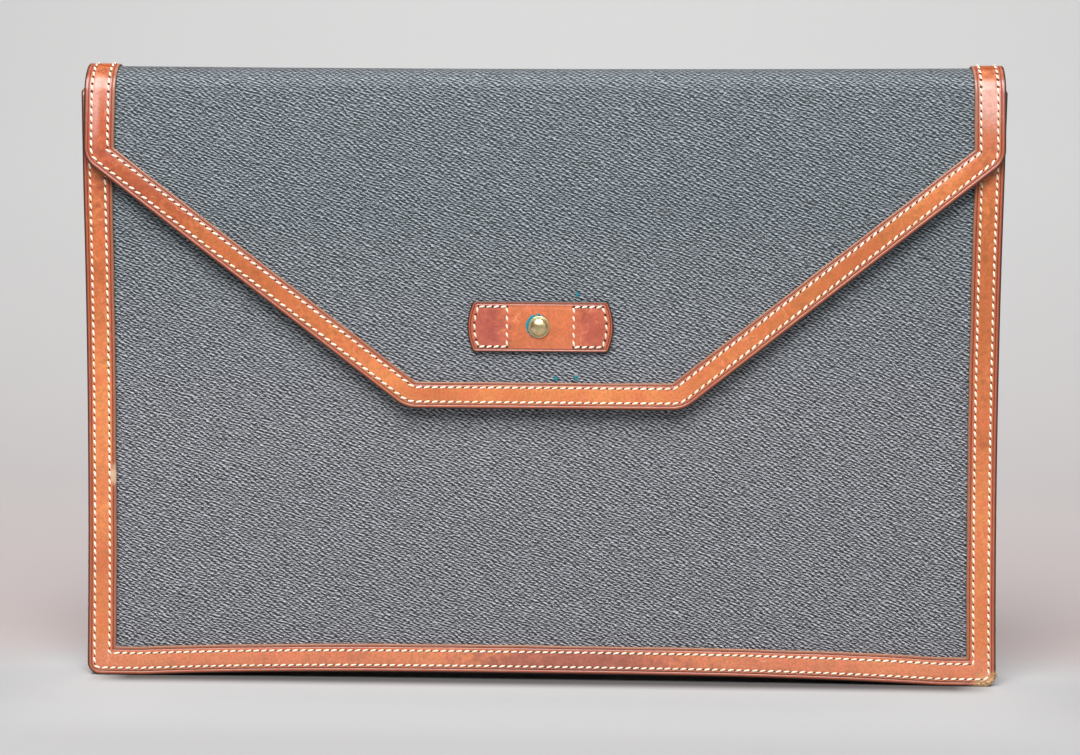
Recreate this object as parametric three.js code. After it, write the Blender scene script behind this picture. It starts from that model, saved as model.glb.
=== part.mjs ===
// Document bag: a flat envelope of coated canvas, edged with leather, with a pointed flap.
// Millimetres, +Z up, the front faces -Y. The origin is under the middle of the bag, where it stands.

import * as THREE from 'three';
import { mergeVertices } from 'three/addons/utils/BufferGeometryUtils.js';

// Body
const BODY_WIDTH = 375.4;
const BODY_HEIGHT = 243;
const BODY_DEPTH = 22;
const CORNER_RADIUS = 5.4;
const RIDGE_END_RADIUS = 2.6;
const SIDE_PULL = 1.5;
const TOP_FLARE = 0.5;
const FLARE_POWER = 10;
const BOTTOM_ARCH = 2.8;
const ARCH_HALF_SPAN = 165;
const ARCH_POWER = 3;
const FRONT_BULGE = 3.2;
const BACK_BULGE = 1.4;
const TOP_LEAN = 4;
const LEAN_START = 190;

// Sheets and the clearance between sewn layers
const CANVAS = 1.5;
const BAND_LEATHER = 1.5;
const GUSSET_LEATHER = 1.2;
const GAP = 0.3;
const EDGE_INSET = 0.5;

// Edging
const BAND_WIDTH = 12;
const BAND_INNER_RADIUS = 0.8;
const BAND_ROWS_ACROSS = [0, 0.05, 0.11, 0.22, 1];

// Gusset
const GUSSET_INSET = 4;
const GUSSET_TUCK = 4;
const GUSSET_TOP = 238;

// Flap
const FOLD_TOP = 253;
const FOLD_RISE = 9.2;
const FOLD_SKIVE = 0.8;
const FOLD_SAG = 0.8;
const FLAP_CLEARANCE = 0.6;
const FLAP_HALF_WIDTH = 186.4;
const FLAP_CORNER_HEIGHT = 213.5;
const FLAP_CORNER_RADIUS = 10;
const FLAP_TIP_RADIUS = 13;
const FLAP_TIP_TRIM = 1.6;
const FLAP_TIP_HEIGHT = 113;
const FLAP_TIP_HALF_WIDTH = 56.5;
const FLAP_BAND = { side: 12.6, slope: 11.4, tip: 11 };
const FLAP_BAND_START = 236;

// Tab, stud and closure
const TAB = { width: 59.2, height: 20.7, thickness: 1.5, endSagitta: 1.6, cornerCut: 1.8, centreHeight: 146.5 };
const STUD = { radius: 4.4, rim: 0.9, dome: 1.5 };
const SNAP_RADIUS = 6;

// Cells
const COLUMNS = 16;
const SIDE_CELLS = 13;
const CORNER_CELLS = 4;
const FOLD_CELLS = 10;
const SLOPE_CELLS = 8;

// Sizes that follow from those above
const HALF_WIDTH = BODY_WIDTH / 2;
const PANEL_FACE = BODY_DEPTH / 2 - BAND_LEATHER - GAP;
const FLANGE_FACE = PANEL_FACE - CANVAS - GAP;
const FOLD_MIDDLE_TOP = FOLD_TOP - (BAND_LEATHER - FOLD_SKIVE) - GAP - CANVAS / 2;
const FOLD_START = FOLD_MIDDLE_TOP - FOLD_RISE;
const BACK_MIDDLE = PANEL_FACE - CANVAS / 2;
const FLAP_MIDDLE = BODY_DEPTH / 2 + FLAP_CLEARANCE + CANVAS / 2;
const FOLD_HALF_DEPTH = (BACK_MIDDLE + FLAP_MIDDLE) / 2;
const FOLD_CENTRE = (BACK_MIDDLE - FLAP_MIDDLE) / 2;
const FOLD_LENGTH = Math.PI * Math.sqrt((FOLD_RISE ** 2 + FOLD_HALF_DEPTH ** 2) / 2);
const FLAP_START = FOLD_START + FOLD_LENGTH;
const BAND_OFFSET = CANVAS / 2 + GAP;

// Small helpers
const mix = (a, b, share) => a + (b - a) * share;
const steps = (count) => Array.from({ length: count + 1 }, (unused, n) => n / count);
const spread = (from, to, count) => steps(count).map((share) => mix(from, to, share));
const flapRun = (z) => FLAP_START + FOLD_START - z;

// How far a panel stands out at a place: a shallow pillow that dies out at its edges.
function pillow(x, z) {
  const across = Math.max(0, 1 - (x / HALF_WIDTH) ** 2);
  const share = THREE.MathUtils.clamp(z / FOLD_START, 0, 1);
  return across * Math.sin(Math.PI * share) ** 2;
}

// The flat cut of a body panel is pulled in at mid height, flared at the top and arched up along the bottom.
function settle(x, z) {
  const share = z / BODY_HEIGHT;
  const pull = SIDE_PULL * 4 * share * (1 - share) - TOP_FLARE * share ** FLARE_POWER;
  const arch = Math.max(0, 1 - (Math.abs(x) / ARCH_HALF_SPAN) ** ARCH_POWER);
  return { x: x * (1 - pull / HALF_WIDTH), z: z + BOTTOM_ARCH * arch * (1 - share) };
}

// How far the front and the flap lean back towards the fold.
function topLean(z) {
  return TOP_LEAN * Math.max(0, (z - LEAN_START) / (BODY_HEIGHT - LEAN_START)) ** 2;
}

// How far the front stands out at a place.
function frontSwell(x, z) {
  return FRONT_BULGE * pillow(x, z) - topLean(z);
}

// A point of the front: depth is counted outwards from the middle of the bag.
function frontPoint(x, z, depth) {
  const place = settle(x, z);
  return new THREE.Vector3(place.x, -depth - frontSwell(place.x, place.z), place.z);
}

function backPoint(x, z, depth) {
  const place = settle(x, z);
  return new THREE.Vector3(place.x, depth + BACK_BULGE * pillow(place.x, place.z), place.z);
}

// How far round the fold a run lies: 0 at the back, half a turn at the flap.
function foldTurn(run) {
  return Math.PI * THREE.MathUtils.clamp((run - FOLD_START) / FOLD_LENGTH, 0, 1);
}

// A point of the long sheet: up the back, over the fold and down the flap, run counted from the bottom.
function sheetPoint(x, run, offset) {
  if (run <= FOLD_START) {
    return backPoint(x, run, BACK_MIDDLE + offset);
  }
  if (run >= FLAP_START) {
    const z = FOLD_START - (run - FLAP_START);
    return new THREE.Vector3(x, -FLAP_MIDDLE - offset - frontSwell(x, z), z);
  }
  const turn = foldTurn(run);
  const outward = new THREE.Vector2(Math.cos(turn) * FOLD_RISE, Math.sin(turn) * FOLD_HALF_DEPTH).setLength(offset);
  const y = FOLD_CENTRE + FOLD_HALF_DEPTH * Math.cos(turn) + outward.x;
  const sag = FOLD_SAG * (1 - (x / HALF_WIDTH) ** 2) * Math.sin(turn);
  const z = FOLD_START + FOLD_RISE * Math.sin(turn) - sag + outward.y;
  const frontShare = (1 - Math.cos(turn)) / 2;
  return new THREE.Vector3(x, y + topLean(z) * frontShare, z);
}

// A closed wall of cells: place gives the corner of a column and row on the inner (0) or outer (1) face.
function wall(columns, rows, place) {
  const box = new THREE.BoxGeometry(columns, rows, 1, columns, rows, 1);
  const corners = box.attributes.position;
  for (let n = 0; n < corners.count; n += 1) {
    const column = Math.round(corners.getX(n) + columns / 2);
    const row = Math.round(corners.getY(n) + rows / 2);
    const side = Math.round(corners.getZ(n) + 0.5);
    corners.setXYZ(n, ...place(column, row, side));
  }
  return closed(box);
}

// Shared corners are merged, and the faces are turned to point out.
function closed(geometry) {
  geometry.deleteAttribute('normal');
  geometry.deleteAttribute('uv');
  const solid = mergeVertices(geometry, 1e-3);
  const corners = solid.attributes.position;
  const faces = solid.index.array;
  const [a, b, c] = [new THREE.Vector3(), new THREE.Vector3(), new THREE.Vector3()];
  let volume = 0;
  for (let n = 0; n < faces.length; n += 3) {
    a.fromBufferAttribute(corners, faces[n]);
    b.fromBufferAttribute(corners, faces[n + 1]);
    c.fromBufferAttribute(corners, faces[n + 2]);
    volume += a.dot(b.cross(c));
  }
  if (volume < 0) {
    faces.reverse();
  }
  solid.computeVertexNormals();
  return solid;
}

// Heights of the rows of a panel, closer together at its rounded corners.
function panelHeights(bottom, top) {
  const turns = spread(0, Math.PI / 2, CORNER_CELLS);
  const corner = turns.map((turn) => bottom + CORNER_RADIUS * (1 - Math.cos(turn)));
  const end = turns.map((turn) => top - RIDGE_END_RADIUS * (1 - Math.sin(turn)));
  const straight = spread(corner.at(-1), end[0], SIDE_CELLS).slice(1, -1);
  return [...corner, ...straight, ...end];
}

// Half the width of a body panel at a height, with its corners rounded.
function panelHalfWidth(z, inset, bottom, top) {
  const low = Math.max(0, CORNER_RADIUS - (z - bottom));
  const high = Math.max(0, RIDGE_END_RADIUS - (top - z));
  const lowCut = CORNER_RADIUS - Math.sqrt(CORNER_RADIUS ** 2 - low ** 2);
  const highCut = RIDGE_END_RADIUS - Math.sqrt(RIDGE_END_RADIUS ** 2 - high ** 2);
  return HALF_WIDTH - inset - lowCut - highCut;
}

// The route of the edging round the body at some inset: down the left, along the bottom, up the right.
function bodyRoute(inset, top) {
  const radius = Math.max(CORNER_RADIUS - inset, BAND_INNER_RADIUS);
  const x = HALF_WIDTH - inset - radius;
  const z = inset + radius;
  const endCut = Math.max(0, RIDGE_END_RADIUS - inset);
  const end = top - RIDGE_END_RADIUS + Math.sqrt(RIDGE_END_RADIUS ** 2 - endCut ** 2);
  const right = [];
  spread(0, ARCH_HALF_SPAN, COLUMNS / 2).slice(1).forEach((along) => right.push([along, inset]));
  spread(0, Math.PI / 2, CORNER_CELLS).forEach((turn) => {
    right.push([x + radius * Math.sin(turn), z - radius * Math.cos(turn)]);
  });
  spread(z, end, SIDE_CELLS).slice(1).forEach((height) => right.push([HALF_WIDTH - inset, height]));
  const left = right.map(([along, height]) => [-along, height]).reverse();
  return [...left, [0, inset], ...right];
}

// The route of the flap's edging, from the back over the fold, round the flap and back again.
// The outer edge rounds its corners, and the inner edge turns almost sharply.
function flapRoute(share) {
  const slope = Math.atan2(FLAP_CORNER_HEIGHT - FLAP_TIP_HEIGHT, FLAP_HALF_WIDTH - FLAP_TIP_HALF_WIDTH);
  const side = FLAP_HALF_WIDTH - FLAP_BAND.side * share;
  const tip = FLAP_TIP_HEIGHT + FLAP_BAND.tip * share;
  const lift = (FLAP_BAND.slope * share) / Math.cos(slope);
  const slopeHeight = (x) => FLAP_CORNER_HEIGHT + lift - (FLAP_HALF_WIDTH - x) * Math.tan(slope);
  const tipX = FLAP_HALF_WIDTH - (FLAP_CORNER_HEIGHT + lift - tip) / Math.tan(slope);
  const bend = Math.PI / 2 - slope;
  const radius = Math.max(FLAP_CORNER_RADIUS - FLAP_BAND.slope * share, BAND_INNER_RADIUS);
  const tangent = radius * Math.tan(bend / 2);
  const corner = slopeHeight(side) + tangent;
  const tipRadius = Math.max(FLAP_TIP_RADIUS - FLAP_BAND.tip * share, BAND_INNER_RADIUS);
  const tipTangent = tipRadius * Math.tan(slope / 2);
  const tipEnd = tipX - tipTangent;
  const right = [];
  spread(0, tipEnd, COLUMNS / 4).slice(1).forEach((x) => right.push([x, flapRun(tip)]));
  spread(0, slope, CORNER_CELLS).slice(1).forEach((turn) => {
    right.push([tipEnd + tipRadius * Math.sin(turn), flapRun(tip + tipRadius * (1 - Math.cos(turn)))]);
  });
  const slopeStart = tipX + tipTangent * Math.cos(slope);
  const slopeEnd = side - tangent * Math.cos(slope);
  spread(slopeStart, slopeEnd, SLOPE_CELLS).slice(1).forEach((x) => right.push([x, flapRun(slopeHeight(x))]));
  spread(bend, 0, CORNER_CELLS).slice(1).forEach((turn) => {
    right.push([side - radius * (1 - Math.cos(turn)), flapRun(corner - radius * Math.sin(turn))]);
  });
  spread(flapRun(corner), FLAP_START, CORNER_CELLS).slice(1).forEach((run) => right.push([side, run]));
  spread(FLAP_START, FOLD_START, FOLD_CELLS).slice(1).forEach((run) => right.push([side, run]));
  right.push([side, FLAP_BAND_START + GAP]);
  const left = right.map(([x, run]) => [-x, run]).reverse();
  return [...left, [0, flapRun(tip)], ...right];
}

// A flat strip between the routes of its rows, laid on a surface.
function strip(routes, point, inner, outer) {
  const across = routes.length - 1;
  const along = routes[0].length - 1;
  return wall(along, across, (column, row, side) => point(...routes[row][column], side ? outer : inner));
}

function canvasMesh(name, geometry) {
  const canvas = new THREE.MeshStandardMaterial({ color: 0x777b82, roughness: 0.6, metalness: 0 });
  return named(name, geometry, canvas);
}

function leatherMesh(name, geometry) {
  const leather = new THREE.MeshStandardMaterial({ color: 0xc9713f, roughness: 0.45, metalness: 0 });
  return named(name, geometry, leather);
}

function brassMesh(name, geometry) {
  const brass = new THREE.MeshStandardMaterial({ color: 0xb9974e, roughness: 0.35, metalness: 1 });
  return named(name, geometry, brass);
}

function named(name, geometry, material) {
  const mesh = new THREE.Mesh(geometry, material);
  mesh.name = name;
  return mesh;
}

// Front wall: one canvas sheet behind its edging.
function makeFrontPanel() {
  const top = BODY_HEIGHT - EDGE_INSET;
  const heights = panelHeights(EDGE_INSET, top);
  const panel = wall(COLUMNS, heights.length - 1, (column, row, side) => {
    const half = panelHalfWidth(heights[row], EDGE_INSET, EDGE_INSET, top);
    return frontPoint(mix(-half, half, column / COLUMNS), heights[row], PANEL_FACE - (side ? 0 : CANVAS));
  });
  return canvasMesh('front_panel', panel);
}

// Back wall, fold and flap: one canvas sheet, narrowed at the fold and cut to a point with a blunt tip.
function makeBackAndFlap() {
  const flapHalf = FLAP_HALF_WIDTH - EDGE_INSET;
  const tip = FLAP_TIP_HEIGHT + EDGE_INSET;
  const back = panelHeights(EDGE_INSET, BODY_HEIGHT).filter((z) => z < FLAP_BAND_START);
  const backRows = [...back, FLAP_BAND_START].map((z) => {
    return { run: z, half: panelHalfWidth(z, EDGE_INSET, EDGE_INSET, BODY_HEIGHT) };
  });
  const foldRows = spread(FOLD_START, FLAP_START, FOLD_CELLS).map((run) => ({ run, half: flapHalf }));
  const sideEnd = FLAP_CORNER_HEIGHT + FLAP_CORNER_RADIUS / 2;
  const sideRows = spread(FOLD_START, sideEnd, CORNER_CELLS).slice(1).map((z) => {
    return { run: flapRun(z), half: flapHalf };
  });
  const slope = (FLAP_HALF_WIDTH - FLAP_TIP_HALF_WIDTH) / (FLAP_CORNER_HEIGHT - FLAP_TIP_HEIGHT);
  const slopeTop = FLAP_CORNER_HEIGHT - FLAP_CORNER_RADIUS / 4;
  const slopeRows = spread(slopeTop, tip, SLOPE_CELLS).map((z, row) => {
    const trim = row === SLOPE_CELLS ? FLAP_TIP_TRIM : 0;
    return { run: flapRun(z), half: flapHalf - (FLAP_CORNER_HEIGHT - z) * slope - trim };
  });
  const rows = [...backRows, ...foldRows, ...sideRows, ...slopeRows];
  const sheet = wall(COLUMNS, rows.length - 1, (column, row, side) => {
    const { run, half } = rows[row];
    return sheetPoint(mix(-half, half, column / COLUMNS), run, (side - 0.5) * CANVAS);
  });
  return canvasMesh('back_and_flap', sheet);
}

// Gusset: a channel of thin leather with a flange sewn to each panel, tucked inwards along the sides.
function makeGusset() {
  const web = FLANGE_FACE - GUSSET_LEATHER;
  const sections = [
    { back: 0, tuck: 0, flange: true },
    { back: 0, tuck: 0, flange: false },
    { back: 0.25, tuck: 0.7, flange: false },
    { back: 0.5, tuck: 1, flange: false },
    { back: 0.75, tuck: 0.7, flange: false },
    { back: 1, tuck: 0, flange: false },
    { back: 1, tuck: 0, flange: true },
  ];
  const stations = bodyRoute(0, GUSSET_TOP).length - 1;
  const sideShare = (z) => THREE.MathUtils.smoothstep(z, 0, BODY_HEIGHT / 2);
  const routes = sections.flatMap((section) => [0, 1].map((side) => {
    const inset = section.flange ? EDGE_INSET : GUSSET_INSET + side * GUSSET_LEATHER;
    return bodyRoute(inset, GUSSET_TOP);
  }));
  const channel = wall(stations, sections.length - 1, (column, row, side) => {
    const section = sections[row];
    const [x, z] = routes[row * 2 + side][column];
    const tuck = Math.sign(x) * GUSSET_TUCK * section.tuck * sideShare(z);
    const depth = section.tuck === 0 ? web + side * GUSSET_LEATHER : web;
    return frontPoint(x - tuck, z, depth).lerp(backPoint(x - tuck, z, depth), section.back);
  });
  return leatherMesh('gusset', channel);
}

// Edging strips of the body and of the flap.
function makeBodyBand(name, point) {
  const routes = BAND_ROWS_ACROSS.map((share) => bodyRoute(BAND_WIDTH * share, BODY_HEIGHT));
  return leatherMesh(name, strip(routes, point, BODY_DEPTH / 2 - BAND_LEATHER, BODY_DEPTH / 2));
}

function makeBackBand() {
  const routes = BAND_ROWS_ACROSS.map((share) => {
    return bodyRoute(BAND_WIDTH * share, BODY_HEIGHT).map(([x, z]) => [x, Math.min(z, FLAP_BAND_START)]);
  });
  return leatherMesh('back_band', strip(routes, backPoint, BODY_DEPTH / 2 - BAND_LEATHER, BODY_DEPTH / 2));
}

// The flap's strip is pared thinner where it bends over the fold.
function makeFlapBand() {
  const routes = [0, 1].map(flapRoute);
  const pared = (x, run, height) => {
    const share = 1 - (FOLD_SKIVE / BAND_LEATHER) * Math.sin(foldTurn(run));
    return sheetPoint(x, run, BAND_OFFSET + height * share);
  };
  return leatherMesh('flap_band', strip(routes, pared, 0, BAND_LEATHER));
}

// Tab: a small strap with bowed ends and cut corners, laid on the flap.
function makeTab() {
  const half = TAB.width / 2;
  const end = half - TAB.endSagitta;
  const high = TAB.height / 2;
  const outline = new THREE.Shape();
  outline.moveTo(-end + TAB.cornerCut, -high);
  outline.lineTo(end - TAB.cornerCut, -high);
  outline.lineTo(end, -high + TAB.cornerCut);
  outline.quadraticCurveTo(half + TAB.endSagitta, 0, end, high - TAB.cornerCut);
  outline.lineTo(end - TAB.cornerCut, high);
  outline.lineTo(-end + TAB.cornerCut, high);
  outline.lineTo(-end, high - TAB.cornerCut);
  outline.quadraticCurveTo(-half - TAB.endSagitta, 0, -end, -high + TAB.cornerCut);
  const strap = new THREE.ExtrudeGeometry(outline, { depth: TAB.thickness, bevelEnabled: false, curveSegments: 8 });
  return leatherMesh('tab', onFlap(strap, BAND_OFFSET));
}

// Carries a flat piece, with its thickness along Z, to the middle of the flap at some offset.
function onFlap(geometry, offset) {
  const corners = geometry.attributes.position;
  for (let n = 0; n < corners.count; n += 1) {
    const run = flapRun(TAB.centreHeight + corners.getY(n));
    corners.setXYZ(n, ...sheetPoint(corners.getX(n), run, offset + corners.getZ(n)));
  }
  return closed(geometry);
}

// A disc or stud from its half section, turned to lie flat with its axis along Z.
function turned(profile) {
  const points = profile.map(([radius, height]) => new THREE.Vector2(radius, height));
  return new THREE.LatheGeometry(points, 24).rotateX(Math.PI / 2);
}

function makeStud() {
  const { radius, rim, dome } = STUD;
  const crown = spread(0, Math.PI / 2, 5).map((turn) => [radius * Math.cos(turn), rim + dome * Math.sin(turn)]);
  crown[crown.length - 1][0] = 0;
  return brassMesh('stud', onFlap(turned([[0, 0], [radius, 0], ...crown]), BAND_OFFSET + TAB.thickness + GAP));
}

function makeSnap() {
  const height = BAND_LEATHER + FLAP_CLEARANCE - GAP;
  const disc = turned([[0, 0], [SNAP_RADIUS, 0], [SNAP_RADIUS, height], [0, height]]);
  return brassMesh('snap', onFlap(disc, -CANVAS / 2 - GAP - height));
}

const bag = new THREE.Group();
bag.add(makeFrontPanel());
bag.add(makeBackAndFlap());
bag.add(makeGusset());
bag.add(makeBodyBand('front_band', frontPoint));
bag.add(makeBackBand());
bag.add(makeFlapBand());
bag.add(makeTab());
bag.add(makeStud());
bag.add(makeSnap());

// The bag is centred over its footprint.
const reach = new THREE.Box3().setFromObject(bag);
bag.position.y = -(reach.min.y + reach.max.y) / 2;

export default bag;
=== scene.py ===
"""Document bag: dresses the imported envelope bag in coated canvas, stitched leather edging and aged brass."""

import math

import bmesh
import bpy
import numpy as np
from bpy.props import FloatProperty, FloatVectorProperty, IntProperty, PointerProperty
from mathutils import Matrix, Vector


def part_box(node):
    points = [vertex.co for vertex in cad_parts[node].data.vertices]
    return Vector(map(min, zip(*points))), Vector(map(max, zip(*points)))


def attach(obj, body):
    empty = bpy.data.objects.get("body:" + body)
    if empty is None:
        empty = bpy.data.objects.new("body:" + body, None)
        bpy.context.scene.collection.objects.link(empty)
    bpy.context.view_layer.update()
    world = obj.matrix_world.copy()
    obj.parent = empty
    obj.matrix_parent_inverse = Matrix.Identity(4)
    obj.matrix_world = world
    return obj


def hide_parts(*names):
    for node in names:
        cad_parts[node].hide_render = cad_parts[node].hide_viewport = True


bl_info = {
    "name": "Document bag finish",
    "version": (1, 0, 0),
    "blender": (4, 5, 0),
    "location": "View3D > Sidebar > Bag",
    "description": "Dresses a packed document bag in coated canvas, stitched leather edging and aged brass",
    "category": "Object",
}

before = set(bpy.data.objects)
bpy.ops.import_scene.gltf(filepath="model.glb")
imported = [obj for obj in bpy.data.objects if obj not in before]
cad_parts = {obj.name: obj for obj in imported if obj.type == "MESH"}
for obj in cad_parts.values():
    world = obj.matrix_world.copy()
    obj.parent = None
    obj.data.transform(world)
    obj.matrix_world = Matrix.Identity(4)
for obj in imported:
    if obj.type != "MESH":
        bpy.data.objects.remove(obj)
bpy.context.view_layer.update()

MM = 0.001
ROOT = "root"

# Sizes of the bag in millimetres, read from the frame where its boxes give them.
BODY_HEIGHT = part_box("front_band")[1].z / MM
FOLD_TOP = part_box("flap_band")[1].z / MM
FLAP_TIP_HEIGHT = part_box("flap_band")[0].z / MM
FLAP_BAND_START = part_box("back_band")[1].z / MM
GUSSET_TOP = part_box("gusset")[1].z / MM
TAB_HALF_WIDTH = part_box("tab")[1].x / MM
TAB_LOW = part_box("tab")[0].z / MM
TAB_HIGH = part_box("tab")[1].z / MM
STUD_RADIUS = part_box("stud")[1].x / MM
STUD_HEIGHT = (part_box("stud")[1].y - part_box("stud")[0].y) / MM
HALF_WIDTH = 187.7
BODY_DEPTH = 22.0
CORNER_RADIUS = 5.4
RIDGE_END_RADIUS = 2.6
SIDE_PULL = 1.5
TOP_FLARE = 0.5
FLARE_POWER = 10
BOTTOM_ARCH = 2.8
ARCH_HALF_SPAN = 165.0
ARCH_POWER = 3
FRONT_BULGE = 3.2
BACK_BULGE = 1.4
TOP_LEAN = 4.0
LEAN_START = 190.0
CANVAS = 1.5
BAND_LEATHER = 1.5
GUSSET_LEATHER = 1.2
GAP = 0.3
EDGE_INSET = 0.5
BAND_WIDTH = 12.0
BAND_INNER_RADIUS = 0.8
GUSSET_INSET = 4.0
GUSSET_TUCK = 4.0
FOLD_RISE = 9.2
FOLD_SKIVE = 0.8
FOLD_SAG = 0.8
FOLD_TILT = 0.3
FOLD_SHIFT = 0.45
FLAP_CLEARANCE = 0.6
FLAP_HALF_WIDTH = 186.4
FLAP_CORNER_HEIGHT = 213.5
FLAP_CORNER_RADIUS = 10.0
FLAP_TIP_RADIUS = 13.0
FLAP_TIP_TRIM = 1.6
FLAP_TIP_HALF_WIDTH = 56.5
FLAP_SKEW = 2.6
FLAP_BAND_SIDE = 12.6
FLAP_BAND_SLOPE = 11.4
FLAP_BAND_TIP = 11.0
TAB_END_SAGITTA = 1.6
TAB_CORNER_CUT = 1.8
TAB_SHIFT = 0.9
STUD_SHIFT = 0.4

# Sizes that follow from those above.
MIDDLE_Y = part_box("front_band")[1].y / MM + BODY_DEPTH / 2 - BAND_LEATHER - TOP_LEAN
PANEL_FACE = BODY_DEPTH / 2 - BAND_LEATHER - GAP
FLANGE_FACE = PANEL_FACE - CANVAS - GAP
BAND_BACK = BODY_DEPTH / 2 - BAND_LEATHER
FOLD_START = FOLD_TOP - (BAND_LEATHER - FOLD_SKIVE) - GAP - CANVAS / 2 - FOLD_RISE
BACK_MIDDLE = PANEL_FACE - CANVAS / 2
FLAP_MIDDLE = BODY_DEPTH / 2 + FLAP_CLEARANCE + CANVAS / 2
FOLD_HALF_DEPTH = (BACK_MIDDLE + FLAP_MIDDLE) / 2
FOLD_CENTRE = (BACK_MIDDLE - FLAP_MIDDLE) / 2
FOLD_LENGTH = math.pi * math.sqrt((FOLD_RISE**2 + FOLD_HALF_DEPTH**2) / 2)
FLAP_START = FOLD_START + FOLD_LENGTH
FLAP_SLOPE = math.atan2(FLAP_CORNER_HEIGHT - FLAP_TIP_HEIGHT, FLAP_HALF_WIDTH - FLAP_TIP_HALF_WIDTH)
FLAP_BAND_MEAN = (FLAP_BAND_SIDE + FLAP_BAND_SLOPE + FLAP_BAND_TIP) / 3
BAND_OFFSET = CANVAS / 2 + GAP
TAB_HEIGHT = (TAB_LOW + TAB_HIGH) / 2
TAB_HALF_HEIGHT = (TAB_HIGH - TAB_LOW) / 2

# Section of a leather strip: its undercut and rounded edge, its creased lines and its rows of stitches.
SEWN_DOWN = 0.22
UNDERCUT_INSETS = (0.4, 0.08)
UNDERCUT_HEIGHTS = (-SEWN_DOWN, 0.1)
EDGE_ROUND = 0.5
OUTER_CREASE = 1.7
INNER_CREASE = 1.3
CREASE_DEPTH = 0.26
CREASE_WIDTH = 0.22
CREASE_STATIONS = (-2.2, -1, -0.5, 0, 0.5, 1, 2.2)
OUTER_ROW = 3.0
INNER_ROW = 2.8
FLAP_INNER_ROW = 2.4
ROW_DEPTH = 0.16
ROW_WIDTH = 0.55
ROW_STATIONS = (-0.8, 0, 0.8, 1.8)
CROWN = 0.14
GUSSET_BEND = 1.2

# What a strip's points carry for its finish; the margin is counted from the row of stitches to the edge.
STRIP_VALUES = ("rim", "crease", "margin")
MARGIN_BETWEEN = 0.5
MARGIN_OUTSIDE = 0.75
MARGIN_STEP = 0.1

# The tab: its corners, the closing of its top, its creased line and the boxes of stitches at its ends.
TAB_CUT_SHRINK = 0.6
TAB_CUT_LEAST = 0.4
TAB_CORNER_ROUND = 0.25
TAB_CORE = (0.8, 0.97)
TAB_CREASE = 1.2
TAB_ROW = 2.25
TAB_END_ROW = 2.9
TAB_BOX_INNER = 13.5

# The stud in shares of its radius and height: its rim from the foot up, then the dome within it.
STUD_RIM_RADII = (0.9, 1, 1, 0.97, 0.9, 0.85)
STUD_RIM_HEIGHTS = (0, 0.05, 0.24, 0.3, 0.31, 0.27)
STUD_DOME_RADIUS = 0.82
STUD_DOME_FOOT = 0.3

# Stitches in shares of their length or of the thread, and how far a hand turns them.
STITCH_SHARES = {
    "ahead": ("Length", 0.5),
    "behind": ("Length", -0.5),
    "sunk": ("Thread", -0.3),
    "raised": ("Thread", 0.45),
    "radius": ("Thread", 0.5),
}
STITCH_STEPS = 7
STITCH_FULLNESS = 0.6
STITCH_END = 0.3
HOLE_RADIUS = 0.7
HOLE_SHAPE = (1.0, 0.9, 0.12)
HAND_TURN = 0.07
TAB_STITCH = 0.95
TAB_THREAD = 0.92

# Wear: where the front's corner is frayed, and where verdigris has crept out from under the stud.
FRAYED_FROM = 174.0
FRAYED_HEIGHT = 7.0
FRAYED_INSET = 0.5
FRAYED_DEPTH = 0.7
FRAYED_SCATTER = 0.35
FRAYED_COUNT = 170
FRAYED_LENGTH = 1.2
FRAYED_LOW = 1.45
TARNISH_REACH = 0.35
BLOOM_TURN = 2.65
BLOOM_SPREAD = 0.65
BLOOM_REACH = (-0.2, 1.0)
BLOOM_FADE = 0.3
BLOOM_LEAST = 0.1
BLOOM_RISE = 0.15
BLOOM_COUNT = 260
BLOOM_SIZE = 0.75
BLOOM_SPECKS = ((15.6, 159.9), (7.3, 125.6), (15.4, 125.8))
SPECK_COUNT = 24
SPECK_SCATTER = 0.5
SPECK_RISE = 0.2
BIT_SIZES = (0.4, 1.2)

# How finely the pieces are divided, and how far canvas and hand work stray from true.
CELL = 3.0
CANVAS_CELL = 4.0
CORNER_STATIONS = 10
FOLD_STATIONS = 24
BACK_STATIONS = 4
EDGE_STATIONS = 6
FLANGE_STATIONS = 4
WEB_STATIONS = 7
TAB_END_STATIONS = 15
TAB_EDGE_STATIONS = 39
TAB_ROW_STATIONS = 25
TAB_SIDE_STATIONS = (20, 25, 20)
STUD_SIDES = 64
STUD_DOME_STATIONS = 10
RIPPLE = 0.28
RIPPLE_WAVES = ((83, 141, 0.0), (152, -96, 1.3))
STRAY = 0.14
STRAY_PERIODS = (31.0, 73.0, 170.0)

# Canvas grain: strengths of the two crossed waves, then pitch, strength and slip of each wave of ridges.
CROSSED_WAVES = {1: 0.62, -1: 0.46}
RIDGE_WAVES = ((1.28, 0.42, 14.0), (1.0, 0.6, -15.0), (0.8, 0.85, 12.0))

# Heights in metres over which a finish changes: the painted shade up the flap and onto the fold, and the gloss
# of the strip over it.
FLAP_SHADE_HEIGHTS = (0.1, 0.19)
FOLD_SHADE_HEIGHTS = (0.247, 0.253)
FOLD_STRIP_HEIGHTS = (0.246, 0.251)

# Camera, fitted to the photograph: a 70 mm lens on a 36 mm sensor.
CAMERA_PLACE = (37.4, -860.0, 191.7)
CAMERA_YAW = 2.49
CAMERA_PITCH = 4.43
CAMERA_ROLL = -0.24
CAMERA_LENS = 70.0
CAMERA_SENSOR = 36.0

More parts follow.
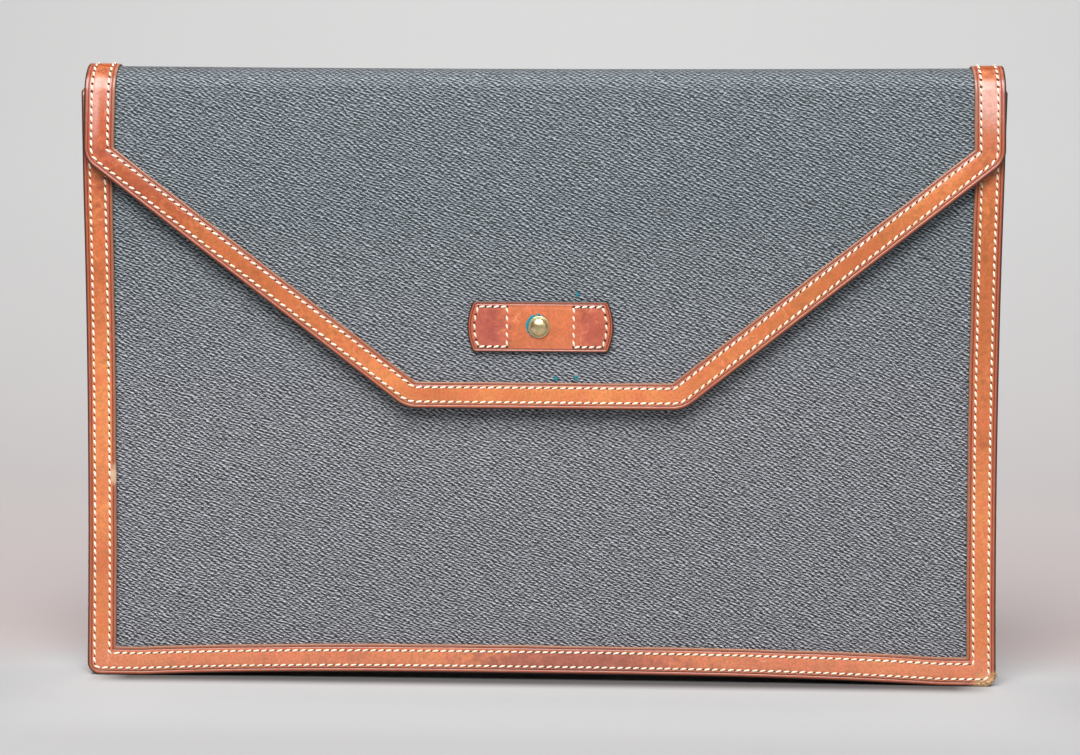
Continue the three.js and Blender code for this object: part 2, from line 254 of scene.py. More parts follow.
# Stage in metres: the sheet of paper, and soft boxes with their place, aim, width, height and power.
PAPER_NEAR = -2.6
PAPER_FAR = 1.5
PAPER_HIGH = 2.4
PAPER_BEND = 0.9
PAPER_HALF_WIDTH = 2.6
PAPER_STATIONS = 16
PAPER_COLUMNS = 9
SOFT_BOXES = {
    "key_softbox": ((-0.1, -1.05, 1.4), (0, 0, 0.12), 1.3, 1.1, 47),
    "fill_softbox": ((1.2, -1.4, 0.8), (0, 0, 0.12), 1.0, 1.0, 2.5),
    "backdrop_softbox": ((0, 0.4, 1.8), (0, 1.5, 0.5), 2.0, 0.5, 20),
}
ROOM_COLOUR = "#f6f5f3"
ROOM_STRENGTH = 0.14


# Surfaces of the bag, in millimetres.
def points(x, y, z):
    return np.stack(np.broadcast_arrays(x, y, z), -1).astype(float)


def pillow(x, z):
    """How far a panel stands out at a place, from 0 at its edges to 1 in its middle."""
    across = np.clip(1 - (x / HALF_WIDTH) ** 2, 0, None)
    share = np.clip(z / FOLD_START, 0, 1)
    return across * np.sin(np.pi * share) ** 2


def ripple(x, z):
    """The slight unevenness of canvas that was stiffened and carried about."""
    waves = [np.sin(2 * np.pi * (x / across + z / up) + start) for across, up, start in RIPPLE_WAVES]
    return RIPPLE * sum(waves) / len(waves)


def settle(x, z):
    """The flat cut of a body panel, pulled in at mid height, flared at the top and arched below."""
    share = z / BODY_HEIGHT
    pull = SIDE_PULL * 4 * share * (1 - share) - TOP_FLARE * share**FLARE_POWER
    arch = np.clip(1 - (np.abs(x) / ARCH_HALF_SPAN) ** ARCH_POWER, 0, None)
    return x * (1 - pull / HALF_WIDTH), z + BOTTOM_ARCH * arch * (1 - share)


def top_lean(z):
    """How far the front and the flap lean back towards the fold."""
    return TOP_LEAN * np.clip((z - LEAN_START) / (BODY_HEIGHT - LEAN_START), 0, None) ** 2


def front_swell(x, z):
    return (FRONT_BULGE + ripple(x, z)) * pillow(x, z) - top_lean(z)


def front_point(x, z, depth):
    x, z = settle(x, z)
    return points(x, MIDDLE_Y - depth - front_swell(x, z), z)


def back_point(x, z, depth):
    x, z = settle(x, z)
    return points(x, MIDDLE_Y + depth + (BACK_BULGE + ripple(x, z)) * pillow(x, z), z)


def fold_turn(run):
    """How far round the fold a run lies: 0 at the back, half a turn at the flap."""
    return np.pi * np.clip((run - FOLD_START) / FOLD_LENGTH, 0, 1)


def sheet_point(x, run, offset):
    """A point of the long sheet: up the back, over the fold and down the flap, by its run from the bottom."""
    x, run, offset = np.broadcast_arrays(x, run, offset)
    back = back_point(x, np.minimum(run, FOLD_START), BACK_MIDDLE + offset)
    z = FOLD_START - np.clip(run - FLAP_START, 0, None)
    flap = points(x, MIDDLE_Y - FLAP_MIDDLE - offset - front_swell(x, z), z)
    turn = fold_turn(run)
    outward = np.stack([np.cos(turn) * FOLD_RISE, np.sin(turn) * FOLD_HALF_DEPTH], -1)
    outward *= (offset / np.linalg.norm(outward, axis=-1))[..., None]
    across = x / HALF_WIDTH
    sag = FOLD_SAG * (1 - across**2) + FOLD_TILT * across
    z = FOLD_START + (FOLD_RISE - sag) * np.sin(turn) + outward[..., 1]
    y = FOLD_CENTRE + FOLD_HALF_DEPTH * np.cos(turn) + outward[..., 0]
    fold = points(x, MIDDLE_Y + y + top_lean(z) * (1 - np.cos(turn)) / 2, z)
    run = run[..., None]
    return np.where(run <= FOLD_START, back, np.where(run >= FLAP_START, flap, fold))


def flap_run(z):
    return FLAP_START + FOLD_START - z


def skew(run):
    """How far the flap lies to the right: a little from the fold to its upper corners, most at its tip."""
    share = (run - flap_run(FLAP_CORNER_HEIGHT)) / (FLAP_CORNER_HEIGHT - FLAP_TIP_HEIGHT)
    across = FOLD_SHIFT * np.sin(np.clip(fold_turn(run), 0, np.pi / 2))
    return across + (FLAP_SKEW - FOLD_SHIFT) * np.clip(share, 0, 1)


def stray(along, start):
    """Small wandering of a hand-cut edge along its length, between -1 and 1."""
    waves = [np.sin(2 * np.pi * along / period + start * period) for period in STRAY_PERIODS]
    return sum(waves) / len(waves)


# Routes along which the edging lies.
def spaced(start, stop, cell=CELL):
    return np.linspace(start, stop, max(2, math.ceil(abs(stop - start) / cell) + 1))


def mirrored(x, height):
    """A route that starts in the middle, made whole: the left half in reverse, then the right half."""
    return np.concatenate([-x[:0:-1], x]), np.concatenate([height[:0:-1], height])


def body_route(inset, top, end_radius):
    """Stations down the left, along the bottom and up the right of a body panel, at some inset."""
    radius = max(CORNER_RADIUS - inset, BAND_INNER_RADIUS)
    centre_x = HALF_WIDTH - inset - radius
    centre_z = inset + radius
    end_cut = np.clip(end_radius - inset, 0, end_radius)
    end = top - end_radius + math.sqrt(end_radius**2 - end_cut**2)
    turn = np.linspace(0, np.pi / 2, CORNER_STATIONS)
    along = np.linspace(0, centre_x, len(spaced(0, HALF_WIDTH)))[:-1]
    rise = np.linspace(centre_z, end, len(spaced(0, BODY_HEIGHT)))[1:]
    x = np.concatenate([along, centre_x + radius * np.sin(turn), np.full_like(rise, HALF_WIDTH - inset)])
    z = np.concatenate([np.full_like(along, inset), centre_z - radius * np.cos(turn), rise])
    return mirrored(x, z)


def flap_route(share):
    """Stations of the flap's edging at a share of its width, from the back round the flap and back again."""
    side = FLAP_HALF_WIDTH - FLAP_BAND_SIDE * share
    tip = FLAP_TIP_HEIGHT + FLAP_BAND_TIP * share
    lift = FLAP_BAND_SLOPE * share / math.cos(FLAP_SLOPE)
    tip_x = FLAP_HALF_WIDTH - (FLAP_CORNER_HEIGHT + lift - tip) / math.tan(FLAP_SLOPE)
    bend = math.pi / 2 - FLAP_SLOPE
    radius = max(FLAP_CORNER_RADIUS - FLAP_BAND_SLOPE * share, BAND_INNER_RADIUS)
    tangent = radius * math.tan(bend / 2)
    corner = FLAP_CORNER_HEIGHT + lift - (FLAP_HALF_WIDTH - side) * math.tan(FLAP_SLOPE) + tangent
    slope_end = side - tangent * math.cos(FLAP_SLOPE)
    tip_radius = max(FLAP_TIP_RADIUS - FLAP_BAND_TIP * share, BAND_INNER_RADIUS)
    tip_tangent = tip_radius * math.tan(FLAP_SLOPE / 2)
    tip_line = np.linspace(0, tip_x - tip_tangent, len(spaced(0, FLAP_TIP_HALF_WIDTH)))
    tip_turn = np.linspace(0, FLAP_SLOPE, CORNER_STATIONS)[1:]
    tip_arc = tip_line[-1] + tip_radius * np.sin(tip_turn)
    slope_start = tip_x + tip_tangent * math.cos(FLAP_SLOPE)
    slope_x = np.linspace(slope_start, slope_end, len(spaced(FLAP_TIP_HALF_WIDTH, FLAP_HALF_WIDTH)))[1:]
    slope_z = FLAP_CORNER_HEIGHT + lift - (FLAP_HALF_WIDTH - slope_x) * math.tan(FLAP_SLOPE)
    turn = np.linspace(bend, 0, CORNER_STATIONS)[1:]
    side_run = np.linspace(flap_run(corner), FLAP_START, len(spaced(FLAP_CORNER_HEIGHT, FOLD_START)))[1:]
    fold_run = np.linspace(FLAP_START, FOLD_START, FOLD_STATIONS)[1:]
    back_run = np.linspace(FOLD_START, FLAP_BAND_START + GAP, BACK_STATIONS)[1:]
    straight = np.concatenate([side_run, fold_run, back_run])
    corner_run = flap_run(corner - radius * np.sin(turn))
    corner_x = side - radius * (1 - np.cos(turn))
    x = np.concatenate([tip_line, tip_arc, slope_x, corner_x, np.full_like(straight, side)])
    tip_run = flap_run(tip + tip_radius * (1 - np.cos(tip_turn)))
    run = [np.full_like(tip_line, flap_run(tip)), tip_run, flap_run(slope_z), corner_run, straight]
    run = np.concatenate(run)
    x, run = mirrored(x, run)
    return x + skew(run), run


# Where a strip's point lies: inset from its outer edge, height above its underside.
def front_strip(inset, height):
    x, z = body_route(inset, BODY_HEIGHT, RIDGE_END_RADIUS)
    return front_point(x, z, BAND_BACK + height)


def back_strip(inset, height):
    x, z = body_route(inset, FLAP_BAND_START, 0.0)
    return back_point(x, z, BAND_BACK + height)


def flap_strip(inset, height):
    x, run = flap_route(inset / FLAP_BAND_MEAN)
    pared = 1 - FOLD_SKIVE / BAND_LEATHER * np.sin(fold_turn(run))
    return sheet_point(x, run, BAND_OFFSET + height * pared)


# Meshes.
def place_object(name, data):
    piece = bpy.data.objects.new(name, data)
    bpy.context.scene.collection.objects.link(piece)
    return piece


def make_piece(name, vertices, faces, material, node=None, uv=None, values=None):
    """A smooth mesh object at the origin from points in millimetres, riding on the bag."""
    mesh = bpy.data.meshes.new(name)
    mesh.from_pydata(np.asarray(vertices) * MM, [], faces)
    for key, numbers in (values or {}).items():
        mesh.attributes.new(key, "FLOAT", "POINT").data.foreach_set("value", np.ravel(numbers))
    if uv is not None:
        corner = np.zeros(len(mesh.loops), np.int32)
        mesh.loops.foreach_get("vertex_index", corner)
        mesh.uv_layers.new(name="cut").data.foreach_set("uv", (np.asarray(uv) * MM)[corner].ravel())
    work = bmesh.new()
    work.from_mesh(mesh)
    bmesh.ops.recalc_face_normals(work, faces=work.faces)
    work.to_mesh(mesh)
    work.free()
    mesh.shade_smooth()
    mesh.materials.append(material)
    return seat(place_object(name, mesh), node)


def seat(piece, node=None):
    """The piece rides on the bag and stands for its node."""
    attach(piece, ROOT)
    if node:
        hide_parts(node)
    return piece


def grid_faces(rows, columns, start=0, wrap=False):
    """Quads of a grid of points numbered row by row, joined round if it wraps."""
    faces = []
    for row in range(rows - 1):
        low = start + row * columns
        high = low + columns
        for column in range(columns if wrap else columns - 1):
            after = (column + 1) % columns
            faces.append((low + column, low + after, high + after, high + column))
    return faces


def wall(outer, inner):
    """Points and faces of a closed wall between two grids of points of one size."""
    rows, columns = outer.shape[:2]
    count = rows * columns
    faces = grid_faces(rows, columns) + grid_faces(rows, columns, start=count)
    index = np.arange(count).reshape(rows, columns)
    border = np.concatenate([index[0], index[1:, -1], index[-1, -2::-1], index[-2:0:-1, 0]]).tolist()
    for here, there in zip(border, border[1:] + border[:1]):
        faces.append((here, there, there + count, here + count))
    return np.concatenate([outer.reshape(-1, 3), inner.reshape(-1, 3)]), faces


def swept(rings):
    """Points and faces of a closed strip: a ring of points at each station, and a cap at both ends."""
    stations, around = rings.shape[:2]
    faces = grid_faces(stations, around, wrap=True)
    faces.append(tuple(range(around)))
    faces.append(tuple(range((stations - 1) * around, stations * around)))
    return rings.reshape(-1, 3), faces


def lengths(line):
    """How far along a line of points each of them lies."""
    return np.concatenate([[0], np.cumsum(np.linalg.norm(np.diff(line, axis=0), axis=1))])


# Canvas pieces.
def panel_half_width(z, top):
    """Half the width of a body panel at a height, with its corners rounded."""
    low = np.clip(CORNER_RADIUS - (z - EDGE_INSET), 0, CORNER_RADIUS)
    high = np.clip(RIDGE_END_RADIUS - (top - z), 0, RIDGE_END_RADIUS)
    low_cut = CORNER_RADIUS - np.sqrt(CORNER_RADIUS**2 - low**2)
    high_cut = RIDGE_END_RADIUS - np.sqrt(RIDGE_END_RADIUS**2 - high**2)
    return HALF_WIDTH - EDGE_INSET - low_cut - high_cut


def panel_heights(top):
    """Heights of the rows of a panel, closer together at its rounded corners."""
    turn = np.linspace(0, np.pi / 2, CORNER_STATIONS)
    corner = EDGE_INSET + CORNER_RADIUS * (1 - np.cos(turn))
    end = top - RIDGE_END_RADIUS * (1 - np.sin(turn))
    return np.concatenate([corner, spaced(corner[-1], end[0], CANVAS_CELL)[1:-1], end])


def canvas_columns(half):
    share = np.linspace(-1, 1, len(spaced(-HALF_WIDTH, HALF_WIDTH, CANVAS_CELL)))
    return half[:, None] * share


def make_front_canvas(material):
    """Front wall: one canvas sheet behind its edging."""
    top = BODY_HEIGHT - EDGE_INSET
    z = panel_heights(top)
    x = canvas_columns(panel_half_width(z, top))
    z = np.broadcast_to(z[:, None], x.shape)
    vertices, faces = wall(front_point(x, z, PANEL_FACE), front_point(x, z, PANEL_FACE - CANVAS))
    cut = np.tile(np.stack([x, z], -1).reshape(-1, 2), (2, 1))
    piece = make_piece("front_canvas", vertices, faces, material, "front_panel", cut)


def sheet_rows():
    """Runs and half widths of the long sheet: the back, the fold, the sides of the flap and its slopes."""
    flap_half = FLAP_HALF_WIDTH - EDGE_INSET
    back = panel_heights(BODY_HEIGHT)
    back = np.append(back[back < FLAP_BAND_START - 1], FLAP_BAND_START)
    fold = np.linspace(FOLD_START, FLAP_START, FOLD_STATIONS)
    side = flap_run(spaced(FOLD_START, FLAP_CORNER_HEIGHT + FLAP_CORNER_RADIUS / 2, CANVAS_CELL)[1:])
    slope_top = FLAP_CORNER_HEIGHT - FLAP_CORNER_RADIUS / 4
    slope_z = spaced(slope_top, FLAP_TIP_HEIGHT + EDGE_INSET, CANVAS_CELL)
    slope_half = flap_half - (FLAP_CORNER_HEIGHT - slope_z) / math.tan(FLAP_SLOPE)
    slope_half[-1] -= FLAP_TIP_TRIM
    run = np.concatenate([back, fold, side, flap_run(slope_z)])
    level = np.full(len(fold) + len(side), flap_half)
    return run, np.concatenate([panel_half_width(back, BODY_HEIGHT), level, slope_half])


def make_long_canvas(material):
    """Back wall, fold and flap: one canvas sheet, cut to a point with a blunt tip."""
    run, half = sheet_rows()
    x = canvas_columns(half) + skew(run)[:, None]
    run_grid = np.broadcast_to(run[:, None], x.shape)
    vertices, faces = wall(sheet_point(x, run_grid, CANVAS / 2), sheet_point(x, run_grid, -CANVAS / 2))
    cut = np.tile(np.stack([x, -run_grid], -1).reshape(-1, 2), (2, 1))
    piece = make_piece("back_and_flap_canvas", vertices, faces, material, "back_and_flap", cut)


# Leather pieces.
def half_profile(crease, row, half_width):
    """Half the section of a strip, from under its edge to its middle: inset, height, rim, crease, margin."""
    turn = np.linspace(0, np.pi / 2, EDGE_STATIONS)
    edge_inset = np.concatenate([UNDERCUT_INSETS, EDGE_ROUND * (1 - np.cos(turn))])
    edge_height = np.concatenate([UNDERCUT_HEIGHTS, BAND_LEATHER - EDGE_ROUND * (1 - np.sin(turn))])
    near_crease = crease + CREASE_WIDTH * np.array(CREASE_STATIONS)
    near_row = row + ROW_WIDTH * np.array(ROW_STATIONS)
    inset = np.concatenate([near_crease, near_row, [(row + half_width) / 2]])
    line = np.exp(-(((inset - crease) / CREASE_WIDTH) ** 2))
    dip = CREASE_DEPTH * line + ROW_DEPTH * np.exp(-(((inset - row) / ROW_WIDTH) ** 2))
    height = BAND_LEATHER + CROWN * np.sin(np.pi * inset / half_width / 2) - dip
    between = MARGIN_BETWEEN * np.clip((row - inset) / (row - crease), 0, 1)
    margin = np.where(inset < crease + MARGIN_STEP, MARGIN_OUTSIDE, between)
    edge = np.ones(len(edge_inset))
    halves = ((edge_inset, inset), (edge_height, height), (edge, 0 * line), (0 * edge, line), (edge, margin))
    return [np.concatenate(half) for half in halves]


def strip_profile(width, inner_row):
    """The whole section of an edging strip; its margin counts up to 1 outside and down to -1 inside."""
    outer = half_profile(OUTER_CREASE, OUTER_ROW, width / 2)
    inner = half_profile(INNER_CREASE, inner_row, width / 2)
    inner = [width - inner[0], *inner[1:4], -inner[4]]
    return [np.concatenate([left, right[::-1]]) for left, right in zip(outer, inner)]


def make_strip(name, strip, width, inner_row, material, node):
    """An edging strip: its section swept along its route, its edges straying a little as cut by hand."""
    inset, height, *section = strip_profile(width, inner_row)
    rings = np.stack([strip(*place) for place in zip(inset, height)], 1)
    along = lengths(strip(width / 2, BAND_LEATHER))
    inward = strip(width / 2 + 1, BAND_LEATHER) - strip(width / 2, BAND_LEATHER)
    share = np.clip(inset / width, 0, 1)
    rings += (STRAY * stray(along, 1.0)[:, None] * share)[..., None] * inward[:, None, :]
    vertices, faces = swept(rings)
    uv = np.stack(np.broadcast_arrays(along[:, None], inset), -1).reshape(-1, 2)
    values = {key: np.tile(numbers, len(along)) for key, numbers in zip(STRIP_VALUES, section)}
    make_piece(name, vertices, faces, material, node, uv, values)


def gusset_section():
    """Middle line of the gusset's channel and its normals, as inset and depth: flange, bend, web and back."""
    deep = FLANGE_FACE - GUSSET_LEATHER / 2
    web = GUSSET_INSET + GUSSET_LEATHER / 2
    turn = np.linspace(0, np.pi / 2, EDGE_STATIONS)
    flange = np.linspace(EDGE_INSET, web - GUSSET_BEND, FLANGE_STATIONS)[:-1]
    bend_inset = web - GUSSET_BEND + GUSSET_BEND * np.sin(turn)
    bend_depth = deep - GUSSET_BEND + GUSSET_BEND * np.cos(turn)
    half_web = np.linspace(deep - GUSSET_BEND, 0, WEB_STATIONS)[1:]
    inset = np.concatenate([flange, bend_inset, np.full_like(half_web, web)])
    depth = np.concatenate([np.full_like(flange, deep), bend_depth, half_web])
    inset = np.concatenate([inset, inset[-2::-1]])
    depth = np.concatenate([-depth, depth[-2::-1]])
    slope = np.stack([np.gradient(inset), np.gradient(depth)], -1)
    slope /= np.linalg.norm(slope, axis=1, keepdims=True)
    return np.stack([inset, depth], -1), np.stack([-slope[:, 1], slope[:, 0]], -1)


def gusset_line(inset, depth):
    """One line of the gusset along its route, tucked inwards at the sides of the bag."""
    x, z = body_route(inset, GUSSET_TOP, 0.0)
    share = np.clip(z / (BODY_HEIGHT / 2), 0, 1)
    share = share**2 * (3 - 2 * share)
    tuck = GUSSET_TUCK * math.cos(np.clip(depth / PANEL_FACE, -1, 1) * math.pi / 2)
    x = x - np.sign(x) * tuck * share * (inset > GUSSET_INSET - GUSSET_LEATHER)
    front = front_point(x, z, FLANGE_FACE)
    back = back_point(x, z, FLANGE_FACE)
    return front + (back - front) * (depth + FLANGE_FACE) / (2 * FLANGE_FACE)


def make_gusset(material):
    """Gusset: a channel of thin leather with a flange sewn to each panel."""
    middle, normal = gusset_section()
    half = normal * GUSSET_LEATHER / 2
    ring = np.concatenate([middle + half, (middle - half)[::-1]])
    rings = np.stack([gusset_line(*place) for place in ring], 1)
    vertices, faces = swept(rings)
    across = np.tile(lengths(middle), 2)
    uv = np.stack(np.broadcast_arrays(lengths(rings[:, 0])[:, None], across), -1).reshape(-1, 2)
    make_piece("gusset_channel", vertices, faces, material, "gusset", uv)


def tab_outline(inset):
    """Outline of the tab at some inset: bowed ends and small cut corners, with stations all round."""
    high = TAB_HALF_HEIGHT - inset
    end = TAB_HALF_WIDTH - inset - TAB_END_SAGITTA
    cut = max(TAB_CUT_LEAST, TAB_CORNER_CUT - inset * TAB_CUT_SHRINK)
    share = np.linspace(-1, 1, TAB_END_STATIONS)
    bow = np.stack([end + TAB_END_SAGITTA * (1 - share**2), share * (high - cut)], -1)
    edge = points(np.linspace(end - cut, cut - end, TAB_EDGE_STATIONS), high, 0)[:, :2]
    corner = np.array([[end - cut * TAB_CORNER_ROUND, high - cut * TAB_CORNER_ROUND]])
    half_loop = np.concatenate([bow, corner, edge, corner * (-1, 1)])
    return np.concatenate([half_loop, -half_loop])


def on_flap(flat, height):
    """Carries flat points to the middle of the flap, at a height above the underside of what lies on it."""
    return sheet_point(flat[:, 0], flap_run(TAB_HEIGHT + flat[:, 1]), BAND_OFFSET + height)


def make_tab(material):
    """Tab: a small strap with bowed ends, creased round its edge, laid on the flap."""
    inset, height, *section = half_profile(TAB_CREASE, TAB_ROW, TAB_HALF_HEIGHT)
    core = np.array(TAB_CORE)
    inset = np.append(inset, TAB_HALF_HEIGHT * core)
    height = np.append(height, np.full_like(core, BAND_LEATHER + CROWN))
    loops = [tab_outline(part) for part in inset]
    rings = np.stack([on_flap(loop + (TAB_SHIFT, 0), high) for loop, high in zip(loops, height)])
    vertices, faces = swept(rings)
    section = [np.append(numbers, 0 * core) for numbers in section]
    values = {key: np.repeat(numbers, rings.shape[1]) for key, numbers in zip(STRIP_VALUES, section)}
    make_piece("tab_strap", vertices, faces, material, "tab", np.concatenate(loops), values)


# Metal pieces.
def make_stud(material):
    """Stud: a turned brass dome with a thin rim, set on the tab."""
    turn = np.linspace(0, np.pi / 2, STUD_DOME_STATIONS)[:-1]
    radius = np.concatenate([STUD_RIM_RADII, STUD_DOME_RADIUS * np.cos(turn)]) * STUD_RADIUS
    dome = STUD_DOME_FOOT + (1 - STUD_DOME_FOOT) * np.sin(turn)
    height = BAND_LEATHER + np.concatenate([STUD_RIM_HEIGHTS, dome]) * STUD_HEIGHT
    around = np.linspace(0, 2 * np.pi, STUD_SIDES, endpoint=False)
    circle = np.stack([np.cos(around), np.sin(around)], -1)
    turned = zip(radius, height)
    rings = np.stack([on_flap(circle * wide + (STUD_SHIFT, 0), high) for wide, high in turned])
    vertices, faces = swept(rings)
    near_rim = np.exp(-(((radius - STUD_DOME_RADIUS * STUD_RADIUS) / TARNISH_REACH) ** 2))
    values = {"rim": np.repeat(near_rim, STUD_SIDES)}
    make_piece("stud_dome", vertices, faces, material, "stud", values=values)


# Rows of stitches and what else repeats, by Geometry Nodes.
def make_rows(name, rows):
    """A mesh of open lines, with the direction that each point of them faces."""
    starts = np.cumsum([0] + [len(line) for line, facing in rows])
    edges = [(n, n + 1) for first, after in zip(starts, starts[1:]) for n in range(first, after - 1)]
    mesh = bpy.data.meshes.new(name)
    mesh.from_pydata(np.concatenate([line for line, facing in rows]) * MM, edges, [])
    facing = np.concatenate([facing for line, facing in rows])
    mesh.attributes.new("facing", "FLOAT_VECTOR", "POINT").data.foreach_set("vector", facing.ravel())
    return place_object(name, mesh)


def make_spots(name, places):
    mesh = bpy.data.meshes.new(name)
    mesh.from_pydata(places * MM, [], [])
    return place_object(name, mesh)


def grow(piece, tree, values):
    """Runs a Geometry Nodes tree on the piece with its inputs set by name, and keeps a plain mesh of it."""
    growth = piece.modifiers.new(tree.name, "NODES")
    growth.node_group = tree
    for item in tree.interface.items_tree:
        if item.in_out == "INPUT" and item.name in values:
            growth[item.identifier] = values[item.name]
    bpy.context.view_layer.update()
    grown = piece.evaluated_get(bpy.context.evaluated_depsgraph_get())
    mesh = bpy.data.meshes.new_from_object(grown)
    piece.modifiers.clear()
    piece.data = mesh
    if "facing" in mesh.attributes:
        mesh.attributes.remove(mesh.attributes["facing"])
    if not mesh.polygons:
        raise RuntimeError(f"{piece.name} grew nothing")
    seat(piece)


def row_of(strip, inset, height):
    """A row of stitches on a strip, and the way that it faces."""
    line = strip(inset, height)
    return line, strip(inset, height + 1) - line


def tab_box(side, trim):
    """The box of stitches that holds one end of the tab: its outer side follows the bowed end."""
    inner = TAB_BOX_INNER * side
    high = TAB_HALF_HEIGHT - TAB_ROW
    share = np.linspace(-1, 1, TAB_ROW_STATIONS)
    outer = TAB_HALF_WIDTH - TAB_END_ROW - TAB_END_SAGITTA * share**2
    end = np.stack([outer * side, share * high], -1)
    corners = (end[-1], (inner, high), (inner, -high), end[0])
    sides = zip(corners, corners[1:], TAB_SIDE_STATIONS)
    rows = []
    for row in (end, *(np.linspace(*route) for route in sides)):
        along = lengths(row)
        kept = np.linspace(trim, along[-1] - trim, len(row))
        row = np.stack([np.interp(kept, along, row[:, n]) for n in (0, 1)], -1) + (TAB_SHIFT, 0)
        line = on_flap(row, BAND_LEATHER)
        rows.append((line, on_flap(row, BAND_LEATHER + 1) - line))
    return rows


# Colours and shader nodes.
def linear(code):
    """The linear colour of an sRGB hex value."""
    shares = [int(code[n : n + 2], 16) / 255 for n in (1, 3, 5)]
    return [share / 12.92 if share <= 0.04045 else ((share + 0.055) / 1.055) ** 2.4 for share in shares]


def solid(colour):
    return (*colour, 1.0)


def per(size):
    """The scale of a pattern whose features are that many millimetres wide."""
    return 1 / (size * MM)


def add(tree, kind, inputs=None, out=None, **settings):
    """Adds a node with its settings, values and links, and returns the output named, or else its first."""
    node = tree.nodes.new(kind)
    for name, value in settings.items():
        setattr(node, name, value)
    usable = [socket for socket in node.inputs if socket.enabled]
    named = {socket.name: socket for socket in reversed(usable)}
    for name, value in (inputs or {}).items():
        socket = usable[name] if isinstance(name, int) else named[name]
        if isinstance(value, bpy.types.NodeSocket):
            tree.links.new(value, socket)
        else:
            socket.default_value = value
    outputs = [socket for socket in node.outputs if socket.enabled and out in (None, socket.name)]
    return outputs[0] if outputs else None


def new_material(name):
    """An empty material, its node tree and the Object coordinates that its patterns lie in."""
    material = bpy.data.materials.new(name)
    material.use_nodes = True
    tree = material.node_tree
    tree.nodes.clear()
    return material, tree, add(tree, "ShaderNodeTexCoord", out="Object")


def finish_material(material, inputs):
    tree = material.node_tree
    surface = add(tree, "ShaderNodeBsdfPrincipled", inputs)
    add(tree, "ShaderNodeOutputMaterial", {"Surface": surface})
    return material


def layered(tree, colour, layers):
    """Lays colours over a first one in turn, each as far as its cover says."""
    for cover, over in layers:
        coat = {"Factor": cover, "A": colour, "B": solid(over)}
        colour = add(tree, "ShaderNodeMix", coat, data_type="RGBA")
    return colour


def mottled(tree, place, size, tones, span=(0.0, 1.0), detail=2.0):
    """Two tones in patches of a size in millimetres, mixed over a span of the noise that makes them."""
    noise = {"Vector": place, "Scale": per(size), "Detail": detail}
    patch = add(tree, "ShaderNodeTexNoise", noise, out="Fac")
    share = add(tree, "ShaderNodeMapRange", {"Value": patch, "From Min": span[0], "From Max": span[1]})
    return layered(tree, solid(tones[0]), [(share, tones[1])])


def grain_waves(sizes):
    """Waves of the canvas grain: how fast each runs over the cut, how strong it is and how far it slips."""
    right = 2 * math.pi / sizes.grain_width
    up = 2 * math.pi / sizes.grain_height
    waves = [((right, side * up, 0), strength, 0.0) for side, strength in CROSSED_WAVES.items()]
    for part, strength, slip in RIDGE_WAVES:
        fine = 2 * math.pi / (sizes.grain_pitch * part)
        across = (math.sin(sizes.grain_lean) * fine, math.cos(sizes.grain_lean) * fine, 0)
        waves.append((across, strength, slip))
    return waves


# Coated canvas is cotton under a pressed vinyl film: thin pale ridges slant across dark pits; their contrast
# is partly the film's grain, partly painted shade in the pits and painted highlight on the ridges.
def canvas_material(sizes, colours):
    material, tree, place = new_material("coated_canvas")
    cut = add(tree, "ShaderNodeUVMap", uv_map="cut")
    bend = add(tree, "ShaderNodeTexNoise", {"Vector": cut, "Scale": per(9), "Detail": 1.0}, out="Color")
    shift = add(tree, "ShaderNodeVectorMath", {0: bend, "Scale": 1.6 * MM}, operation="SCALE")
    strayed = add(tree, "ShaderNodeVectorMath", {0: cut, 1: shift}, operation="ADD")
    broken = add(tree, "ShaderNodeTexNoise", {"Vector": cut, "Scale": per(2.2), "Detail": 2.5}, out="Fac")
    weave = 0.0
    for across, strength, slip in grain_waves(sizes):
        run = {0: strayed, 1: across}
        phase = add(tree, "ShaderNodeVectorMath", run, out="Value", operation="DOT_PRODUCT")
        phase = add(tree, "ShaderNodeMath", {0: broken, 1: slip, 2: phase}, operation="MULTIPLY_ADD")
        wave = add(tree, "ShaderNodeMath", {0: phase}, operation="COSINE")
        weave = add(tree, "ShaderNodeMath", {0: wave, 1: strength, 2: weave}, operation="MULTIPLY_ADD")
    span = {"Value": weave, "From Min": -1.4, "From Max": 3.1}
    grain = add(tree, "ShaderNodeMapRange", span, interpolation_type="SMOOTHSTEP")
    # Pit and ridge colours: the film's grain, with painted shade in the pits and painted highlight on the
    # ridges.
    worn = layered(tree, solid(colours.canvas_pit_and_shade), [(grain, colours.canvas_ridge_and_highlight)])
    # The canvas is darker and cooler up the flap and darker again on the fold: painted shade by height.
    height = add(tree, "ShaderNodeSeparateXYZ", {"Vector": place}, out="Z")
    painted_shades = []
    for (low, high), cast in ((FLAP_SHADE_HEIGHTS, colours.canvas_flap_shade), (FOLD_SHADE_HEIGHTS, colours.canvas_fold_shade)):
        cover = add(tree, "ShaderNodeMapRange", {"Value": height, "From Min": low, "From Max": high})
        painted_shades.append((cover, cast))
    both = {"Factor": 1.0, "A": worn, "B": layered(tree, solid(colours.canvas_unshaded_cast), painted_shades)}
    colour = add(tree, "ShaderNodeMix", both, data_type="RGBA", blend_type="MULTIPLY")
    gloss = add(tree, "ShaderNodeMapRange", {"Value": grain, "To Min": 0.75, "To Max": 0.42})
    bump = add(tree, "ShaderNodeBump", {"Height": grain, "Strength": 1.0, "Distance": 0.55 * MM})
    return finish_material(material, {"Base Color": colour, "Roughness": gloss, "Normal": bump})
